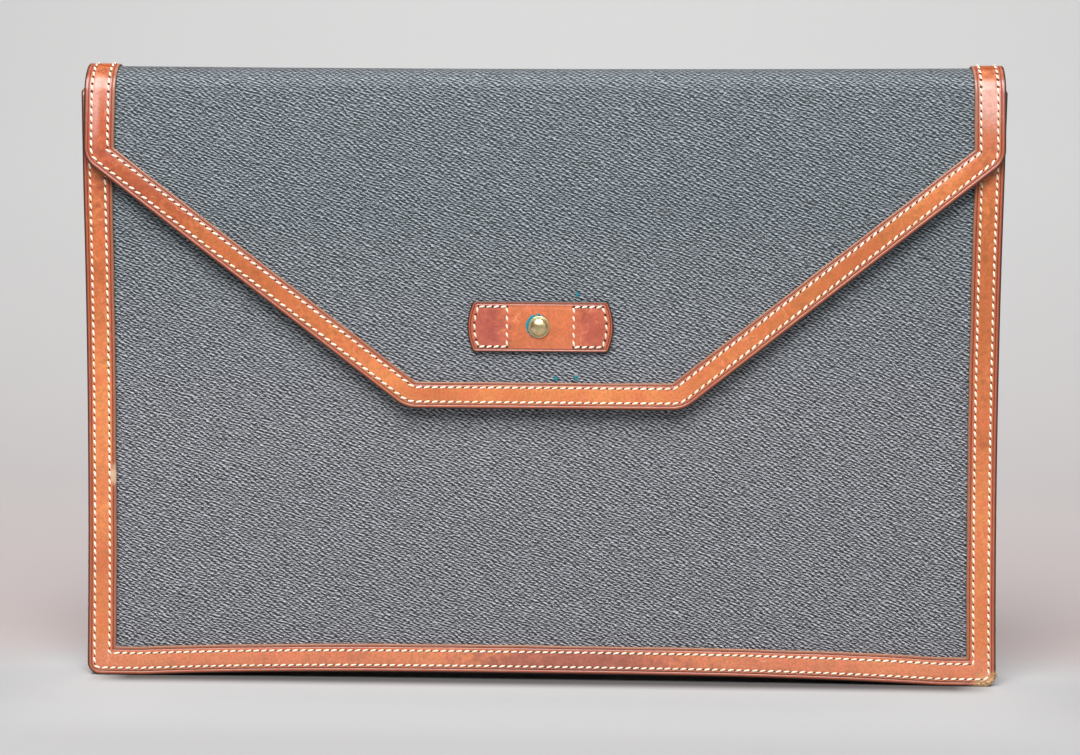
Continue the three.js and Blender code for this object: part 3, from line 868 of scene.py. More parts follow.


# Marks on the leather, among them painted highlight and painted shade: where each lies and how far it reaches
# in millimetres, its colour and its strength.
BAND_MARKS_AND_PAINTED_LIGHT = (
    ((-125, -12, 170), (110, 40, 75), "#a5562f", 0.75),
    ((127, -12, 170), (110, 40, 75), "#a85c31", 0.7),
    ((-163, -12, 201), (46, 40, 30), "#93432b", 0.75),
    ((-181, -6, 225), (30, 40, 22), "#9f4a34", 0.8),
    ((182, -6, 225), (30, 40, 22), "#a65a42", 0.75),
    # The next three pale patches on the straps just below the fold are painted highlight.
    ((-181, -6, 241), (30, 40, 13), "#c08a7c", 0.75),
    ((182, -6, 237), (30, 40, 15), "#c6968a", 0.85),
    ((-181.6, -6, 235), (3.8, 40, 22), "#c48e80", 0.7),
    ((-177.8, -6, 235), (3, 40, 24), "#a84a22", 0.7),
    ((182, -6, 160), (20, 30, 90), "#a4582f", 0.7),
    # Darker over the top of the fold: painted shade.
    ((0, -3, 255), (900, 24, 15), "#8a3a0a", 0.97),
    ((0, -7, 5), (900, 14, 14), "#c9795d", 0.6),
    ((14, -7, 8), (66, 20, 16), "#955448", 0.85),
)
WORN_MARKS = (
    ((186.5, -6, 1), (12, 14, 6.5), "#d2a874", 0.8),
    ((-175.5, -7, 84), (2.4, 8, 6), "#d8b79a", 0.8),
)
TAB_MARKS = (
    ((1, -13, 146), (90, 30, 40), "#b86440", 0.7),
    ((-20, -13, 146), (12, 20, 24), "#a35045", 0.9),
    ((22.5, -13, 146), (12, 20, 24), "#a34f3f", 0.9),
)


def marked(tree, place, colour, marks):
    """Lays marks over the leather's colour, each fading unevenly towards its edge."""
    rough = add(tree, "ShaderNodeTexNoise", {"Vector": place, "Scale": per(2.5), "Detail": 4.0}, out="Fac")
    layers = []
    for centre, reach, code, strength in marks:
        near = {"Vector": place, "Location": [n * MM for n in centre], "Scale": [n * MM for n in reach]}
        local = add(tree, "ShaderNodeMapping", near, vector_type="TEXTURE")
        far = add(tree, "ShaderNodeVectorMath", {0: local}, out="Value", operation="LENGTH")
        edge = add(tree, "ShaderNodeMath", {0: rough, 1: 1.1, 2: far}, operation="MULTIPLY_ADD")
        fade = {"Value": edge, "From Min": 0.75, "From Max": 1.5, "To Min": strength, "To Max": 0.0}
        cover = add(tree, "ShaderNodeMapRange", fade, interpolation_type="SMOOTHSTEP")
        layers.append((cover, linear(code)))
    return layered(tree, colour, layers)


# Vegetable-tanned cowhide, glazed and waxed: warm mottled tan, hairline scratches, creased, burnished edges.
def edging_leather(name, colours, marks):
    material, tree, place = new_material(name)
    carried = [add(tree, "ShaderNodeAttribute", out="Fac", attribute_name=key) for key in STRIP_VALUES]
    rim, line, margin = carried
    tones = (colours.leather_light, colours.leather_deep)
    colour = mottled(tree, place, 30, tones, (0.3, 0.72), 4.0)
    mottle = add(tree, "ShaderNodeTexNoise", {"Vector": place, "Scale": per(5), "Detail": 6.0}, out="Fac")
    span = {"Value": mottle, "From Min": 0.4, "From Max": 0.7, "To Max": 0.75}
    flush = add(tree, "ShaderNodeMapRange", span)
    colour = marked(tree, place, layered(tree, colour, [(flush, colours.leather_flush)]), marks)
    pore = add(tree, "ShaderNodeTexNoise", {"Vector": place, "Scale": per(0.9), "Detail": 3.0}, out="Fac")
    cloud = add(tree, "ShaderNodeMath", {0: pore, 1: mottle}, operation="ADD")
    span = {"Value": cloud, "From Min": 0.75, "From Max": 1.25, "To Min": 0.86, "To Max": 1.29}
    shade = add(tree, "ShaderNodeMapRange", span)
    colour = add(tree, "ShaderNodeVectorMath", {0: colour, "Scale": shade}, operation="SCALE")
    sway = add(tree, "ShaderNodeTexNoise", {"Vector": place, "Scale": per(8), "Detail": 2.0}, out="Color")
    sway = add(tree, "ShaderNodeVectorMath", {0: sway, 1: (9 * MM,) * 3, 2: place}, operation="MULTIPLY_ADD")
    near = add(tree, "ShaderNodeTexVoronoi", {"Vector": sway, "Scale": per(19)}, feature="DISTANCE_TO_EDGE")
    hair = add(tree, "ShaderNodeMapRange", {"Value": near, "From Max": 0.012, "To Min": 1.0, "To Max": 0.0})
    span = {"Value": mottle, "From Min": 0.52, "From Max": 0.62, "To Max": 0.4}
    where = add(tree, "ShaderNodeMapRange", span)
    scratch = add(tree, "ShaderNodeMath", {0: hair, 1: where}, operation="MULTIPLY")
    beside = add(tree, "ShaderNodeMath", {0: margin}, operation="ABSOLUTE")
    span = {"Value": mottle, "From Min": 0.3, "From Max": 0.7, "To Min": 0.45}
    worn = add(tree, "ShaderNodeMapRange", span)
    worn = add(tree, "ShaderNodeMapRange", {"Value": beside, "From Max": 0.5, "To Max": worn})
    creased = add(tree, "ShaderNodeMath", {0: line, 1: 0.9}, operation="MULTIPLY")
    span = {"Value": margin, "From Min": -0.78, "From Max": -0.95, "To Max": 0.85}
    lip = add(tree, "ShaderNodeMapRange", span)
    colour = layered(tree, colour, [
        (scratch, colours.leather_scratch),
        (worn, colours.leather_margin),
        (creased, colours.leather_crease),
        (rim, colours.leather_edge),
        (lip, colours.leather_lip),
    ])
    colour = marked(tree, place, colour, WORN_MARKS)
    bump = add(tree, "ShaderNodeBump", {"Height": pore, "Strength": 0.35, "Distance": 0.12 * MM})
    gloss = add(tree, "ShaderNodeMapRange", {"Value": mottle, "To Min": 0.27, "To Max": 0.43})
    height = add(tree, "ShaderNodeSeparateXYZ", {"Vector": place}, out="Z")
    dry = {"Value": height, "From Min": FOLD_STRIP_HEIGHTS[0], "From Max": FOLD_STRIP_HEIGHTS[1]}
    wax = add(tree, "ShaderNodeMapRange", dry | {"To Min": 0.25, "To Max": 0.0})
    shine = add(tree, "ShaderNodeMapRange", dry | {"To Min": 0.5, "To Max": 0.12})
    look = {"Base Color": colour, "Roughness": gloss, "Normal": bump}
    coat = {"Coat Weight": wax, "Coat Roughness": 0.16, "Specular IOR Level": shine}
    return finish_material(material, look | coat)


# Thin chrome-tanned leather, dyed through: darker tan, satin, pebbled.
def gusset_leather(colours):
    material, tree, place = new_material("thin_dyed_leather")
    colour = mottled(tree, place, 18, (colours.leather_deep, colours.leather_crease), detail=4.0)
    pebble = add(tree, "ShaderNodeTexVoronoi", {"Vector": place, "Scale": per(1.4)}, feature="SMOOTH_F1")
    bump = add(tree, "ShaderNodeBump", {"Height": pebble, "Strength": 0.4, "Distance": 0.2 * MM})
    return finish_material(material, {"Base Color": colour, "Roughness": 0.55, "Normal": bump})


# Waxed linen thread: cream, a little soiled, dull, its twist showing as fine ridges.
def thread_material(colours):
    material, tree, place = new_material("waxed_linen_thread")
    colour = mottled(tree, place, 6, (colours.thread, colours.thread_soiled), (0.35, 0.75), 3.0)
    ply = add(tree, "ShaderNodeTexNoise", {"Vector": place, "Scale": per(0.3), "Detail": 1.0}, out="Fac")
    bump = add(tree, "ShaderNodeBump", {"Height": ply, "Strength": 0.5, "Distance": 0.1 * MM})
    return finish_material(material, {"Base Color": colour, "Roughness": 0.75, "Normal": bump})


# Raw leather inside a needle hole, dark brown and dull, darkened further as painted shade in the hole.
def needle_hole_shade_material(colours):
    material, tree, place = new_material("raw_leather_hole")
    colour = mottled(tree, place, 0.8, (colours.hole_leather_and_shade, colours.leather_crease))
    return finish_material(material, {"Base Color": colour, "Roughness": 0.9})


# Turned brass, once polished: warm yellow metal, browned by handling, with blue-green bloom in its hollows.
def brass_material(colours):
    material, tree, place = new_material("tarnished_brass")
    rim = add(tree, "ShaderNodeAttribute", out="Fac", attribute_name="rim")
    spot = add(tree, "ShaderNodeTexNoise", {"Vector": place, "Scale": per(1.6), "Detail": 5.0}, out="Fac")
    grown = add(tree, "ShaderNodeMath", {0: spot, 1: rim}, operation="MULTIPLY")
    span = {"Value": grown, "From Min": 0.44, "From Max": 0.62}
    bloom = add(tree, "ShaderNodeMapRange", span, interpolation_type="SMOOTHSTEP")
    layers = [(spot, colours.brass_tarnish), (bloom, colours.verdigris)]
    colour = layered(tree, solid(colours.brass), layers)
    shine = add(tree, "ShaderNodeMapRange", {"Value": bloom, "To Min": 1.0, "To Max": 0.0})
    dull = add(tree, "ShaderNodeMapRange", {"Value": spot, "To Min": 0.18, "To Max": 0.5})
    return finish_material(material, {"Base Color": colour, "Metallic": shine, "Roughness": dull})


# Fibres of split leather: pale, dry and dull.
def fibre_material(colours):
    material, tree, place = new_material("split_leather_fibre")
    colour = mottled(tree, place, 1.2, (colours.fibre, colours.leather_edge), (0.4, 0.62))
    return finish_material(material, {"Base Color": colour, "Roughness": 0.9})


# Verdigris: crumbs of copper salts, bright blue-green, chalky.
def verdigris_material(colours):
    material, tree, place = new_material("verdigris")
    colour = mottled(tree, place, 0.7, (colours.verdigris, colours.verdigris_deep))
    return finish_material(material, {"Base Color": colour, "Roughness": 0.85})


# Matt studio paper: pale, with painted shade a little darker round the bag, painted light close before it and
# a painted contact shadow at its foot.
def paper_material(colours):
    material, tree, place = new_material("pale_backdrop_paper")
    x = add(tree, "ShaderNodeSeparateXYZ", {"Vector": place}, out="X")
    y = x.node.outputs["Y"]
    aside = add(tree, "ShaderNodeMath", {0: x}, operation="ABSOLUTE")
    near = add(tree, "ShaderNodeMath", {0: y}, operation="ABSOLUTE")
    # Painted shade on the floor behind the bag and, further on, before it.
    behind = add(tree, "ShaderNodeMapRange", {"Value": y, "From Min": 1.2, "From Max": 0.1})
    front = {"Value": y, "From Min": 0.08, "From Max": -0.01}
    front = add(tree, "ShaderNodeMapRange", front, interpolation_type="SMOOTHSTEP")
    # Painted light on the floor just before the bag.
    inside = {"Value": aside, "From Min": 0.24, "From Max": 0.15}
    inside = add(tree, "ShaderNodeMapRange", inside, interpolation_type="SMOOTHSTEP")
    under = {"Value": y, "From Min": -0.12, "From Max": -0.02, "To Max": inside}
    under = add(tree, "ShaderNodeMapRange", under, interpolation_type="SMOOTHSTEP")
    under = add(tree, "ShaderNodeMath", {0: under, 1: front}, operation="MULTIPLY")
    # A painted contact shadow at the foot of the bag.
    below = {"Value": aside, "From Min": 0.186, "From Max": 0.17, "To Max": 0.85}
    below = add(tree, "ShaderNodeMapRange", below)
    foot = {"Value": near, "From Min": 0.022, "From Max": 0.009, "To Max": below}
    foot = add(tree, "ShaderNodeMapRange", foot, interpolation_type="SMOOTHSTEP")
    colour = layered(tree, solid(colours.paper), [
        (behind, colours.paper_shade),
        (front, colours.paper_front_shade),
        (under, colours.paper),
        (foot, colours.paper_foot_shadow),
    ])
    return finish_material(material, {"Base Color": colour, "Roughness": 0.9})


# Sewing.
def new_tree(name, inputs):
    """An empty Geometry Nodes tree with named inputs, and the sockets that give them."""
    tree = bpy.data.node_groups.new(name, "GeometryNodeTree")
    for key, kind in inputs.items():
        tree.interface.new_socket(key, in_out="INPUT", socket_type=f"NodeSocket{kind}")
    tree.interface.new_socket("Piece", in_out="OUTPUT", socket_type="NodeSocketGeometry")
    return tree, add(tree, "NodeGroupInput").node.outputs


def sewing_tree(thread, needle_hole_shade):
    """Sewn rows: bowed stitches along each line, turned a little from it, with needle holes between them."""
    sizes = {key: "Float" for key in ("Pitch", "Length", "Thread", "Tilt")}
    tree, given = new_tree("sewn_rows", {"Rows": "Geometry"} | sizes | {"Seed": "Int"})
    curve = add(tree, "GeometryNodeMeshToCurve", {"Mesh": given["Rows"]})
    spots = add(tree, "GeometryNodeCurveToPoints", {"Curve": curve, "Length": given["Pitch"]}, mode="LENGTH")
    facing = add(tree, "GeometryNodeInputNamedAttribute", {"Name": "facing"}, data_type="FLOAT_VECTOR")
    ahead = {"Vector": spots.node.outputs["Tangent"]}
    along = add(tree, "FunctionNodeAlignRotationToVector", ahead, axis="X")
    up = {"Rotation": along, "Vector": facing}
    upright = add(tree, "FunctionNodeAlignRotationToVector", up, axis="Z", pivot_axis="X")
    chance = {"Min": -HAND_TURN, "Max": HAND_TURN, "Seed": given["Seed"]}
    hand = add(tree, "FunctionNodeRandomValue", chance, data_type="FLOAT")
    angle = add(tree, "ShaderNodeMath", {0: given["Tilt"], 1: hand}, operation="ADD")
    lean = add(tree, "FunctionNodeAxisAngleToRotation", {"Axis": (0, 0, 1), "Angle": angle})
    turn = {"Rotation": upright, "Rotate By": lean}
    turned = add(tree, "FunctionNodeRotateRotation", turn, rotation_space="LOCAL")
    sewn = {"Points": spots, "Instance": stitch_shape(tree, given), "Rotation": turned}
    sewn = add(tree, "GeometryNodeInstanceOnPoints", sewn)
    half_pitch = add(tree, "ShaderNodeMath", {0: given["Pitch"], 1: 0.5}, operation="MULTIPLY")
    half_way = add(tree, "ShaderNodeCombineXYZ", {"X": half_pitch})
    pierced = {"Points": spots, "Instance": hole_shape(tree, given), "Rotation": upright}
    pierced = add(tree, "GeometryNodeInstanceOnPoints", pierced)
    moved = {"Instances": pierced, "Translation": half_way, "Local Space": True}
    pierced = add(tree, "GeometryNodeTranslateInstances", moved)
    joined = add(tree, "GeometryNodeJoinGeometry")
    for grown, finish in ((pierced, needle_hole_shade), (sewn, thread)):
        real = add(tree, "GeometryNodeRealizeInstances", {"Geometry": grown})
        smooth = add(tree, "GeometryNodeSetShadeSmooth", {"Geometry": real})
        done = add(tree, "GeometryNodeSetMaterial", {"Geometry": smooth, "Material": finish})
        tree.links.new(done, joined.node.inputs[0])
    add(tree, "NodeGroupOutput", {"Piece": joined})
    return tree


def stitch_shape(tree, given):
    """One stitch: a thread bowed up out of one hole and down into the next, thinner at both ends."""
    size = {}
    for key, (whole, share) in STITCH_SHARES.items():
        size[key] = add(tree, "ShaderNodeMath", {0: given[whole], 1: share}, operation="MULTIPLY")
    line = {"Resolution": STITCH_STEPS}
    for key, place in {"Start": "behind", "End": "ahead"}.items():
        line[key] = add(tree, "ShaderNodeCombineXYZ", {"X": size[place], "Z": size["sunk"]})
    line["Middle"] = add(tree, "ShaderNodeCombineXYZ", {"Z": size["raised"]})
    bow = add(tree, "GeometryNodeCurveQuadraticBezier", line)
    circle = {"Resolution": STITCH_STEPS, "Radius": size["radius"]}
    ring = add(tree, "GeometryNodeCurvePrimitiveCircle", circle)
    share = add(tree, "GeometryNodeSplineParameter", out="Factor")
    half_turn = add(tree, "ShaderNodeMath", {0: share, 1: math.pi}, operation="MULTIPLY")
    wave = add(tree, "ShaderNodeMath", {0: half_turn}, operation="SINE")
    full = add(tree, "ShaderNodeMath", {0: wave, 1: STITCH_FULLNESS}, operation="POWER")
    taper = add(tree, "ShaderNodeMath", {0: full, 1: STITCH_END}, operation="MAXIMUM")
    tube = {"Curve": bow, "Profile Curve": ring, "Scale": taper, "Fill Caps": True}
    return add(tree, "GeometryNodeCurveToMesh", tube)


def hole_shape(tree, given):
    """One needle hole: a small dark dimple, drawn as a flat bead that barely stands out of the leather; its
    darkness is partly painted shade.
    """
    radius = add(tree, "ShaderNodeMath", {0: given["Thread"], 1: HOLE_RADIUS}, operation="MULTIPLY")
    bead = add(tree, "GeometryNodeMeshIcoSphere", {"Radius": radius, "Subdivisions": 2})
    return add(tree, "GeometryNodeTransform", {"Geometry": bead, "Scale": HOLE_SHAPE})


# Wear.
def wear_tree(name, shape, finish):
    """Small bits on points: each one turned and sized by chance, with the finish given."""
    tree, given = new_tree(name, {"Spots": "Geometry", "Size": "Float", "Seed": "Int"})
    spots = add(tree, "GeometryNodeMeshToPoints", {"Mesh": given["Spots"]})
    half_turn = {"Min": (-math.pi,) * 3, "Max": (math.pi,) * 3, "Seed": given["Seed"]}
    angles = add(tree, "FunctionNodeRandomValue", half_turn, data_type="FLOAT_VECTOR")
    turn = add(tree, "FunctionNodeEulerToRotation", {"Euler": angles})
    chance = {"Min": BIT_SIZES[0], "Max": BIT_SIZES[1], "Seed": given["Seed"]}
    share = add(tree, "FunctionNodeRandomValue", chance, data_type="FLOAT")
    grown = add(tree, "ShaderNodeMath", {0: share, 1: given["Size"]}, operation="MULTIPLY")
    bits = {"Points": spots, "Instance": shape(tree), "Rotation": turn, "Scale": grown}
    bits = add(tree, "GeometryNodeInstanceOnPoints", bits)
    real = add(tree, "GeometryNodeRealizeInstances", {"Geometry": bits})
    done = add(tree, "GeometryNodeSetMaterial", {"Geometry": real, "Material": finish})
    add(tree, "NodeGroupOutput", {"Piece": done})
    return tree


def fibre_shape(tree):
    """A frayed fibre one unit long, curled up at its end."""
    line = {"Resolution": 5, "Start": (0, 0, 0), "Middle": (0.6, 0.1, 0), "End": (0.8, 0.1, 0.5)}
    curl = add(tree, "GeometryNodeCurveQuadraticBezier", line)
    ring = add(tree, "GeometryNodeCurvePrimitiveCircle", {"Resolution": 5, "Radius": 0.09})
    return add(tree, "GeometryNodeCurveToMesh", {"Curve": curl, "Profile Curve": ring, "Fill Caps": True})


def crumb_shape(tree):
    """A crumb one unit wide, a little flattened."""
    ball = add(tree, "GeometryNodeMeshIcoSphere", {"Radius": 0.5, "Subdivisions": 1})
    return add(tree, "GeometryNodeTransform", {"Geometry": ball, "Scale": (1.0, 0.8, 0.6)})


def frayed_spots(chance):
    """Points along the worn lower right corner of the front edging."""
    line = front_strip(FRAYED_INSET, BAND_LEATHER * FRAYED_DEPTH)
    near = line[(line[:, 0] > FRAYED_FROM) & (line[:, 2] < FRAYED_HEIGHT)]
    picked = near[chance.integers(0, len(near), FRAYED_COUNT)]
    picked = picked + chance.normal(0, FRAYED_SCATTER, picked.shape)
    picked[:, 2] = np.maximum(picked[:, 2], FRAYED_LOW)
    return picked


def bloom_spots(chance):
    """Points round the upper left foot of the stud, and in a few specks on the flap."""
    turn = chance.normal(BLOOM_TURN, BLOOM_SPREAD, BLOOM_COUNT)
    fade = np.clip(np.cos(turn - BLOOM_TURN) + BLOOM_FADE, BLOOM_LEAST, 1)
    reach = STUD_RADIUS + chance.uniform(*BLOOM_REACH, BLOOM_COUNT) * fade
    ring = np.stack([reach * np.cos(turn) + STUD_SHIFT, reach * np.sin(turn)], -1)
    spots = [on_flap(ring, BAND_LEATHER + BLOOM_RISE)]
    for x, z in BLOOM_SPECKS:
        speck = chance.normal(0, SPECK_SCATTER, (SPECK_COUNT, 2)) + (x, z - TAB_HEIGHT)
        spots.append(on_flap(speck, -GAP + SPECK_RISE))
    return np.concatenate(spots)


# Stage.
def stage_light(name, place, aim, width, height, power):
    """A soft box: an area light at a place in metres, turned towards its aim."""
    light = bpy.data.lights.new(name, "AREA")
    light.shape = "RECTANGLE"
    light.size = width
    light.size_y = height
    light.energy = power
    lamp = place_object(name, light)
    lamp.location = place
    away = np.subtract(place, aim)
    flat = math.hypot(away[0], away[1])
    lamp.rotation_euler = (math.atan2(flat, away[2]), 0, math.atan2(away[0], -away[1]))


def make_camera():
    lens = bpy.data.cameras.new("camera")
    lens.lens = CAMERA_LENS
    lens.sensor_width = CAMERA_SENSOR
    lens.clip_start = 0.01
    camera = place_object("camera", lens)
    camera.location = [n * MM for n in CAMERA_PLACE]
    turn = (90 - CAMERA_PITCH, CAMERA_ROLL, CAMERA_YAW)
    camera.rotation_euler = [math.radians(n) for n in turn]
    bpy.context.scene.camera = camera


def make_backdrop(material):
    """Floor and backdrop: one sheet of paper that curves up behind the bag."""
    turn = np.linspace(0, np.pi / 2, PAPER_STATIONS)
    y = np.concatenate([[PAPER_NEAR], PAPER_FAR - PAPER_BEND + PAPER_BEND * np.sin(turn), [PAPER_FAR]])
    z = np.concatenate([[0], PAPER_BEND * (1 - np.cos(turn)), [PAPER_HIGH]])
    x = np.linspace(-PAPER_HALF_WIDTH, PAPER_HALF_WIDTH, PAPER_COLUMNS)
    sheet = points(x[None, :], y[:, None], z[:, None])
    mesh = bpy.data.meshes.new("backdrop")
    mesh.from_pydata(sheet.reshape(-1, 3), [], grid_faces(len(y), len(x)))
    mesh.shade_smooth()
    mesh.materials.append(material)
    place_object("backdrop", mesh)


def make_world():
    world = bpy.data.worlds.new("studio")
    world.use_nodes = True
    tree = world.node_tree
    tree.nodes.clear()
    light = {"Color": solid(linear(ROOM_COLOUR)), "Strength": ROOM_STRENGTH}
    room = add(tree, "ShaderNodeBackground", light)
    add(tree, "ShaderNodeOutputWorld", {"Surface": room})
    bpy.context.scene.world = world


# Sizes and colours that a user would change.
def length_property(name, description, size):
    return FloatProperty(name=name, description=description, default=size * MM, unit="LENGTH")


def angle_property(name, description, size):
    return FloatProperty(name=name, description=description, default=math.radians(size), subtype="ANGLE")


def colour_property(name, description, code):
    shades = {"subtype": "COLOR", "min": 0, "max": 1}
    return FloatVectorProperty(name=name, description=description, default=linear(code), **shades)


class BagSizes(bpy.types.PropertyGroup):
    """Sizes of the finish that a user would change"""

    stitch_pitch: length_property("Stitch pitch", "From one stitch to the next", 3.24)
    stitch_length: length_property("Stitch length", "Length of one stitch", 3.1)
    tab_pitch: length_property("Tab stitch pitch", "From one stitch to the next on the tab", 2.85)
    thread: length_property("Thread", "Thickness of the sewing thread", 0.95)
    stitch_tilt: angle_property("Stitch tilt", "How far a stitch turns from its row", 14)
    grain_width: length_property("Grain width", "Spacing of the canvas grain from left to right", 2.65)
    grain_height: length_property("Grain height", "Spacing of the canvas grain upwards", 2.25)
    grain_lean: angle_property("Ridge lean", "How far the canvas ridges lean down to the right", 17)
    grain_pitch: length_property("Ridge pitch", "From one canvas ridge to the next", 1.25)
    seed: IntProperty(name="Seed", description="Seed of the small differences between stitches", default=7)


class BagColours(bpy.types.PropertyGroup):
    """Colours of the finish that a user would change"""

    # Canvas pits and ridges: the film's grain, with painted shade in the pits and painted highlight on the
    # ridges.
    canvas_pit_and_shade: colour_property("Canvas pits", "Canvas film in the pits of its grain", "#1d1e20")
    canvas_ridge_and_highlight: colour_property("Canvas ridges", "Canvas film worn pale between its pits", "#d8dade")
    # Canvas casts by height: the lower front is left unshaded, the upper flap and the fold take painted shade.
    canvas_unshaded_cast: colour_property("Canvas cast", "Cast of the canvas on the lower front", "#fafaff")
    canvas_flap_shade: colour_property("Cool cast", "Cast of the canvas on the upper flap", "#d5e2e8")
    canvas_fold_shade: colour_property("Fold cast", "Cast of the canvas on the fold", "#a6a6ac")
    leather_light: colour_property("Leather", "Edging leather where it is palest", "#e08e52")
    leather_deep: colour_property("Deep leather", "Edging leather where handling has darkened it", "#b96238")
    leather_flush: colour_property("Flushed leather", "Edging leather where it is mottled red", "#b45a3a")
    leather_scratch: colour_property("Scratches", "Hairline scratches in the leather", "#f2bd94")
    leather_margin: colour_property("Margins", "Edging leather outside its rows of stitches", "#b2583e")
    leather_lip: colour_property("Lips", "Worn inner edges of the edging", "#9c6a50")
    leather_crease: colour_property("Creases", "Creased lines of the leather", "#5e241a")
    fibre: colour_property("Fibres", "Frayed fibres of split leather", "#d9b07c")
    leather_edge: colour_property("Edges", "Burnished cut edges of the leather", "#3a2016")
    # Needle holes: raw leather, darkened as painted shade in the hole.
    hole_leather_and_shade: colour_property("Needle holes", "Raw leather in the needle holes", "#1d0e09")
    thread: colour_property("Thread", "Sewing thread", "#faf1e0")
    thread_soiled: colour_property("Soiled thread", "Sewing thread where it is soiled", "#dccbac")
    brass: colour_property("Brass", "Brass where it is bright", "#f3e4b6")
    brass_tarnish: colour_property("Tarnish", "Brass where it has browned", "#bda268")
    verdigris: colour_property("Verdigris", "Blue-green bloom on the brass", "#23a3b4")
    verdigris_deep: colour_property("Deep verdigris", "Verdigris where it is thick", "#0d6f80")
    # The backdrop shade, front and foot colours are painted shade and a painted contact shadow; the plain
    # backdrop colour also stands as painted light just before the bag.
    paper: colour_property("Backdrop", "Floor and backdrop", "#bebebe")
    paper_shade: colour_property("Backdrop shade", "Floor behind the bag, where it is darker", "#aba09f")
    paper_front_shade: colour_property("Backdrop front", "Floor in front of the bag", "#a6a5a6")
    paper_foot_shadow: colour_property("Backdrop foot", "Floor at the foot of the bag, in its shade", "#2c2826")


class BAG_OT_stage(bpy.types.Operator):
    """Sets up the camera, the backdrop and the soft light"""

    bl_idname = "bag.stage"
    bl_label = "Stage"

    def execute(self, context):
        make_camera()
        make_world()
        make_backdrop(paper_material(context.scene.bag_colours))
        for name, box in SOFT_BOXES.items():
            stage_light(name, *box)
        context.scene.view_settings.view_transform = "Standard"
        return {"FINISHED"}


class BAG_OT_canvas(bpy.types.Operator):
    """Lays the canvas of the front, and of the back, fold and flap"""

    bl_idname = "bag.canvas"
    bl_label = "Canvas"

    def execute(self, context):
        canvas = canvas_material(context.scene.bag_sizes, context.scene.bag_colours)
        make_front_canvas(canvas)
        make_long_canvas(canvas)
        return {"FINISHED"}


class BAG_OT_gusset(bpy.types.Operator):
    """Folds the leather gusset between the front and the back"""

    bl_idname = "bag.gusset"
    bl_label = "Gusset"

    def execute(self, context):
        make_gusset(gusset_leather(context.scene.bag_colours))
        return {"FINISHED"}


class BAG_OT_edging(bpy.types.Operator):
    """Lays the leather edging of the front, the back and the flap"""

    bl_idname = "bag.edging"
    bl_label = "Edging"

    def execute(self, context):
        leather = edging_leather("waxed_cowhide", context.scene.bag_colours, BAND_MARKS_AND_PAINTED_LIGHT)
        make_strip("front_edging", front_strip, BAND_WIDTH, INNER_ROW, leather, "front_band")
        make_strip("back_edging", back_strip, BAND_WIDTH, INNER_ROW, leather, "back_band")
        make_strip("flap_edging", flap_strip, FLAP_BAND_MEAN, FLAP_INNER_ROW, leather, "flap_band")
        return {"FINISHED"}


class BAG_OT_tab(bpy.types.Operator):
    """Lays the leather tab on the flap"""

    bl_idname = "bag.tab"
    bl_label = "Tab"

    def execute(self, context):
        make_tab(edging_leather("waxed_cowhide_tab", context.scene.bag_colours, TAB_MARKS))
        return {"FINISHED"}


class BAG_OT_brass(bpy.types.Operator):
    """Sets the brass stud on the tab and finishes the closure under the flap"""

    bl_idname = "bag.brass"
    bl_label = "Brass"

    def execute(self, context):
        brass = brass_material(context.scene.bag_colours)
        make_stud(brass)
        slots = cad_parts["snap"].data.materials
        slots.clear()
        slots.append(brass)
        return {"FINISHED"}


class BAG_OT_sewing(bpy.types.Operator):
    """Sews the rows of stitches on the edging and the tab"""

    bl_idname = "bag.sewing"
    bl_label = "Sewing"

    def execute(self, context):
        sizes = context.scene.bag_sizes
        colours = context.scene.bag_colours
        tree = sewing_tree(thread_material(colours), needle_hole_shade_material(colours))
        given = {"Pitch": sizes.stitch_pitch, "Length": sizes.stitch_length, "Thread": sizes.thread}
        given |= {"Tilt": sizes.stitch_tilt, "Seed": sizes.seed}
        strips = {
            "front_stitches": (front_strip, BAND_WIDTH - INNER_ROW),
            "back_stitches": (back_strip, BAND_WIDTH - INNER_ROW),
            "flap_stitches": (flap_strip, FLAP_BAND_MEAN - FLAP_INNER_ROW),
        }
        top = BAND_LEATHER + CROWN / 2 - ROW_DEPTH
        for name, (strip, inner) in strips.items():
            rows = [row_of(strip, inset, top) for inset in (OUTER_ROW, inner)]
            grow(make_rows(name, rows), tree, given)
        given["Pitch"] = sizes.tab_pitch
        given["Length"] = sizes.tab_pitch * TAB_STITCH
        given["Thread"] = sizes.thread * TAB_THREAD
        trim = sizes.tab_pitch / MM / 2
        grow(make_rows("tab_stitches", tab_box(-1, trim) + tab_box(1, trim)), tree, given)
        return {"FINISHED"}


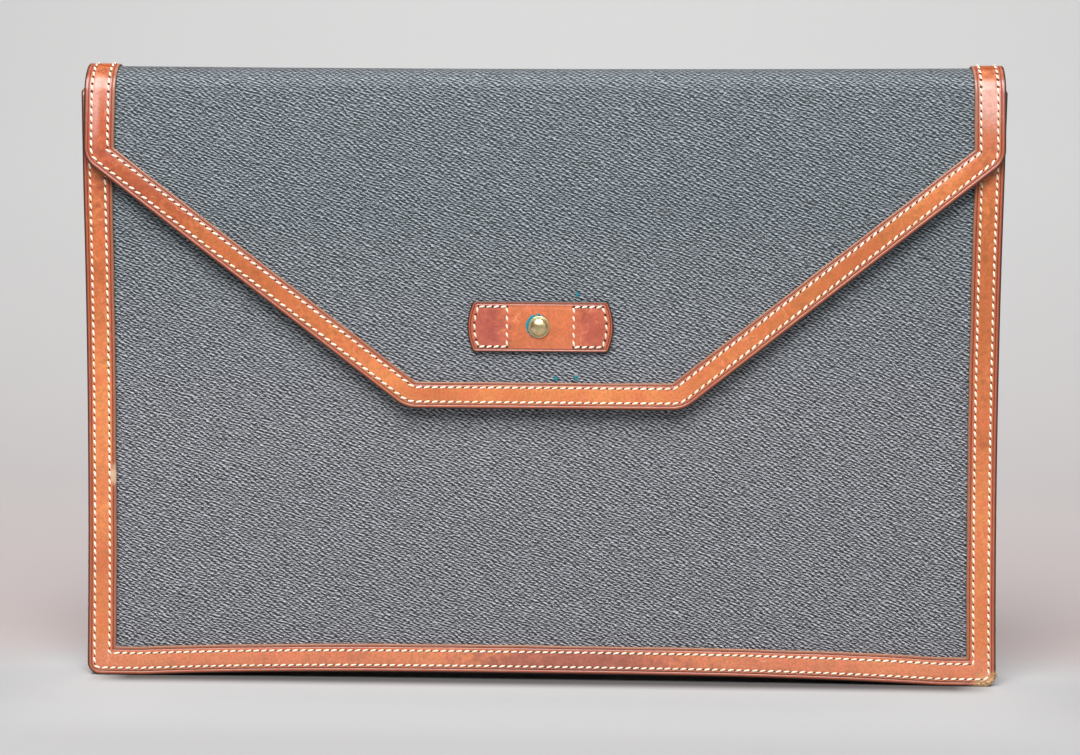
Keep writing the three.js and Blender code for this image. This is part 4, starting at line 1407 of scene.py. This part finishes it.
class BAG_OT_wear(bpy.types.Operator):
    """Frays the worn corner and lets verdigris creep out from under the stud"""

    bl_idname = "bag.wear"
    bl_label = "Wear"

    def execute(self, context):
        colours = context.scene.bag_colours
        seed = context.scene.bag_sizes.seed
        chance = np.random.default_rng(seed)
        fraying = wear_tree("frayed_fibres", fibre_shape, fibre_material(colours))
        spots = make_spots("frayed_corner", frayed_spots(chance))
        grow(spots, fraying, {"Size": FRAYED_LENGTH * MM, "Seed": seed})
        bloom = wear_tree("verdigris_crumbs", crumb_shape, verdigris_material(colours))
        spots = make_spots("stud_verdigris", bloom_spots(chance))
        grow(spots, bloom, {"Size": BLOOM_SIZE * MM, "Seed": seed})
        return {"FINISHED"}


class BAG_PT_finish(bpy.types.Panel):
    """Lists the bag's sizes, colours and pieces"""

    bl_label = "Document bag"
    bl_idname = "BAG_PT_finish"
    bl_space_type = "VIEW_3D"
    bl_region_type = "UI"
    bl_category = "Bag"

    def draw(self, context):
        for group in (context.scene.bag_sizes, context.scene.bag_colours):
            box = self.layout.box()
            for name in group.__annotations__:
                box.prop(group, name)
        for operator in OPERATORS:
            self.layout.operator(operator.bl_idname)


OPERATORS = (
    BAG_OT_stage,
    BAG_OT_canvas,
    BAG_OT_gusset,
    BAG_OT_edging,
    BAG_OT_tab,
    BAG_OT_brass,
    BAG_OT_sewing,
    BAG_OT_wear,
)
CLASSES = (BagSizes, BagColours, *OPERATORS, BAG_PT_finish)


def register():
    for kind in CLASSES:
        bpy.utils.register_class(kind)
    bpy.types.Scene.bag_sizes = PointerProperty(type=BagSizes)
    bpy.types.Scene.bag_colours = PointerProperty(type=BagColours)


def unregister():
    del bpy.types.Scene.bag_colours
    del bpy.types.Scene.bag_sizes
    for kind in reversed(CLASSES):
        bpy.utils.unregister_class(kind)


def main():
    register()
    bpy.ops.bag.stage()
    bpy.ops.bag.canvas()
    bpy.ops.bag.gusset()
    bpy.ops.bag.edging()
    bpy.ops.bag.tab()
    bpy.ops.bag.brass()
    bpy.ops.bag.sewing()
    bpy.ops.bag.wear()


if __name__ == "__main__":
    main()
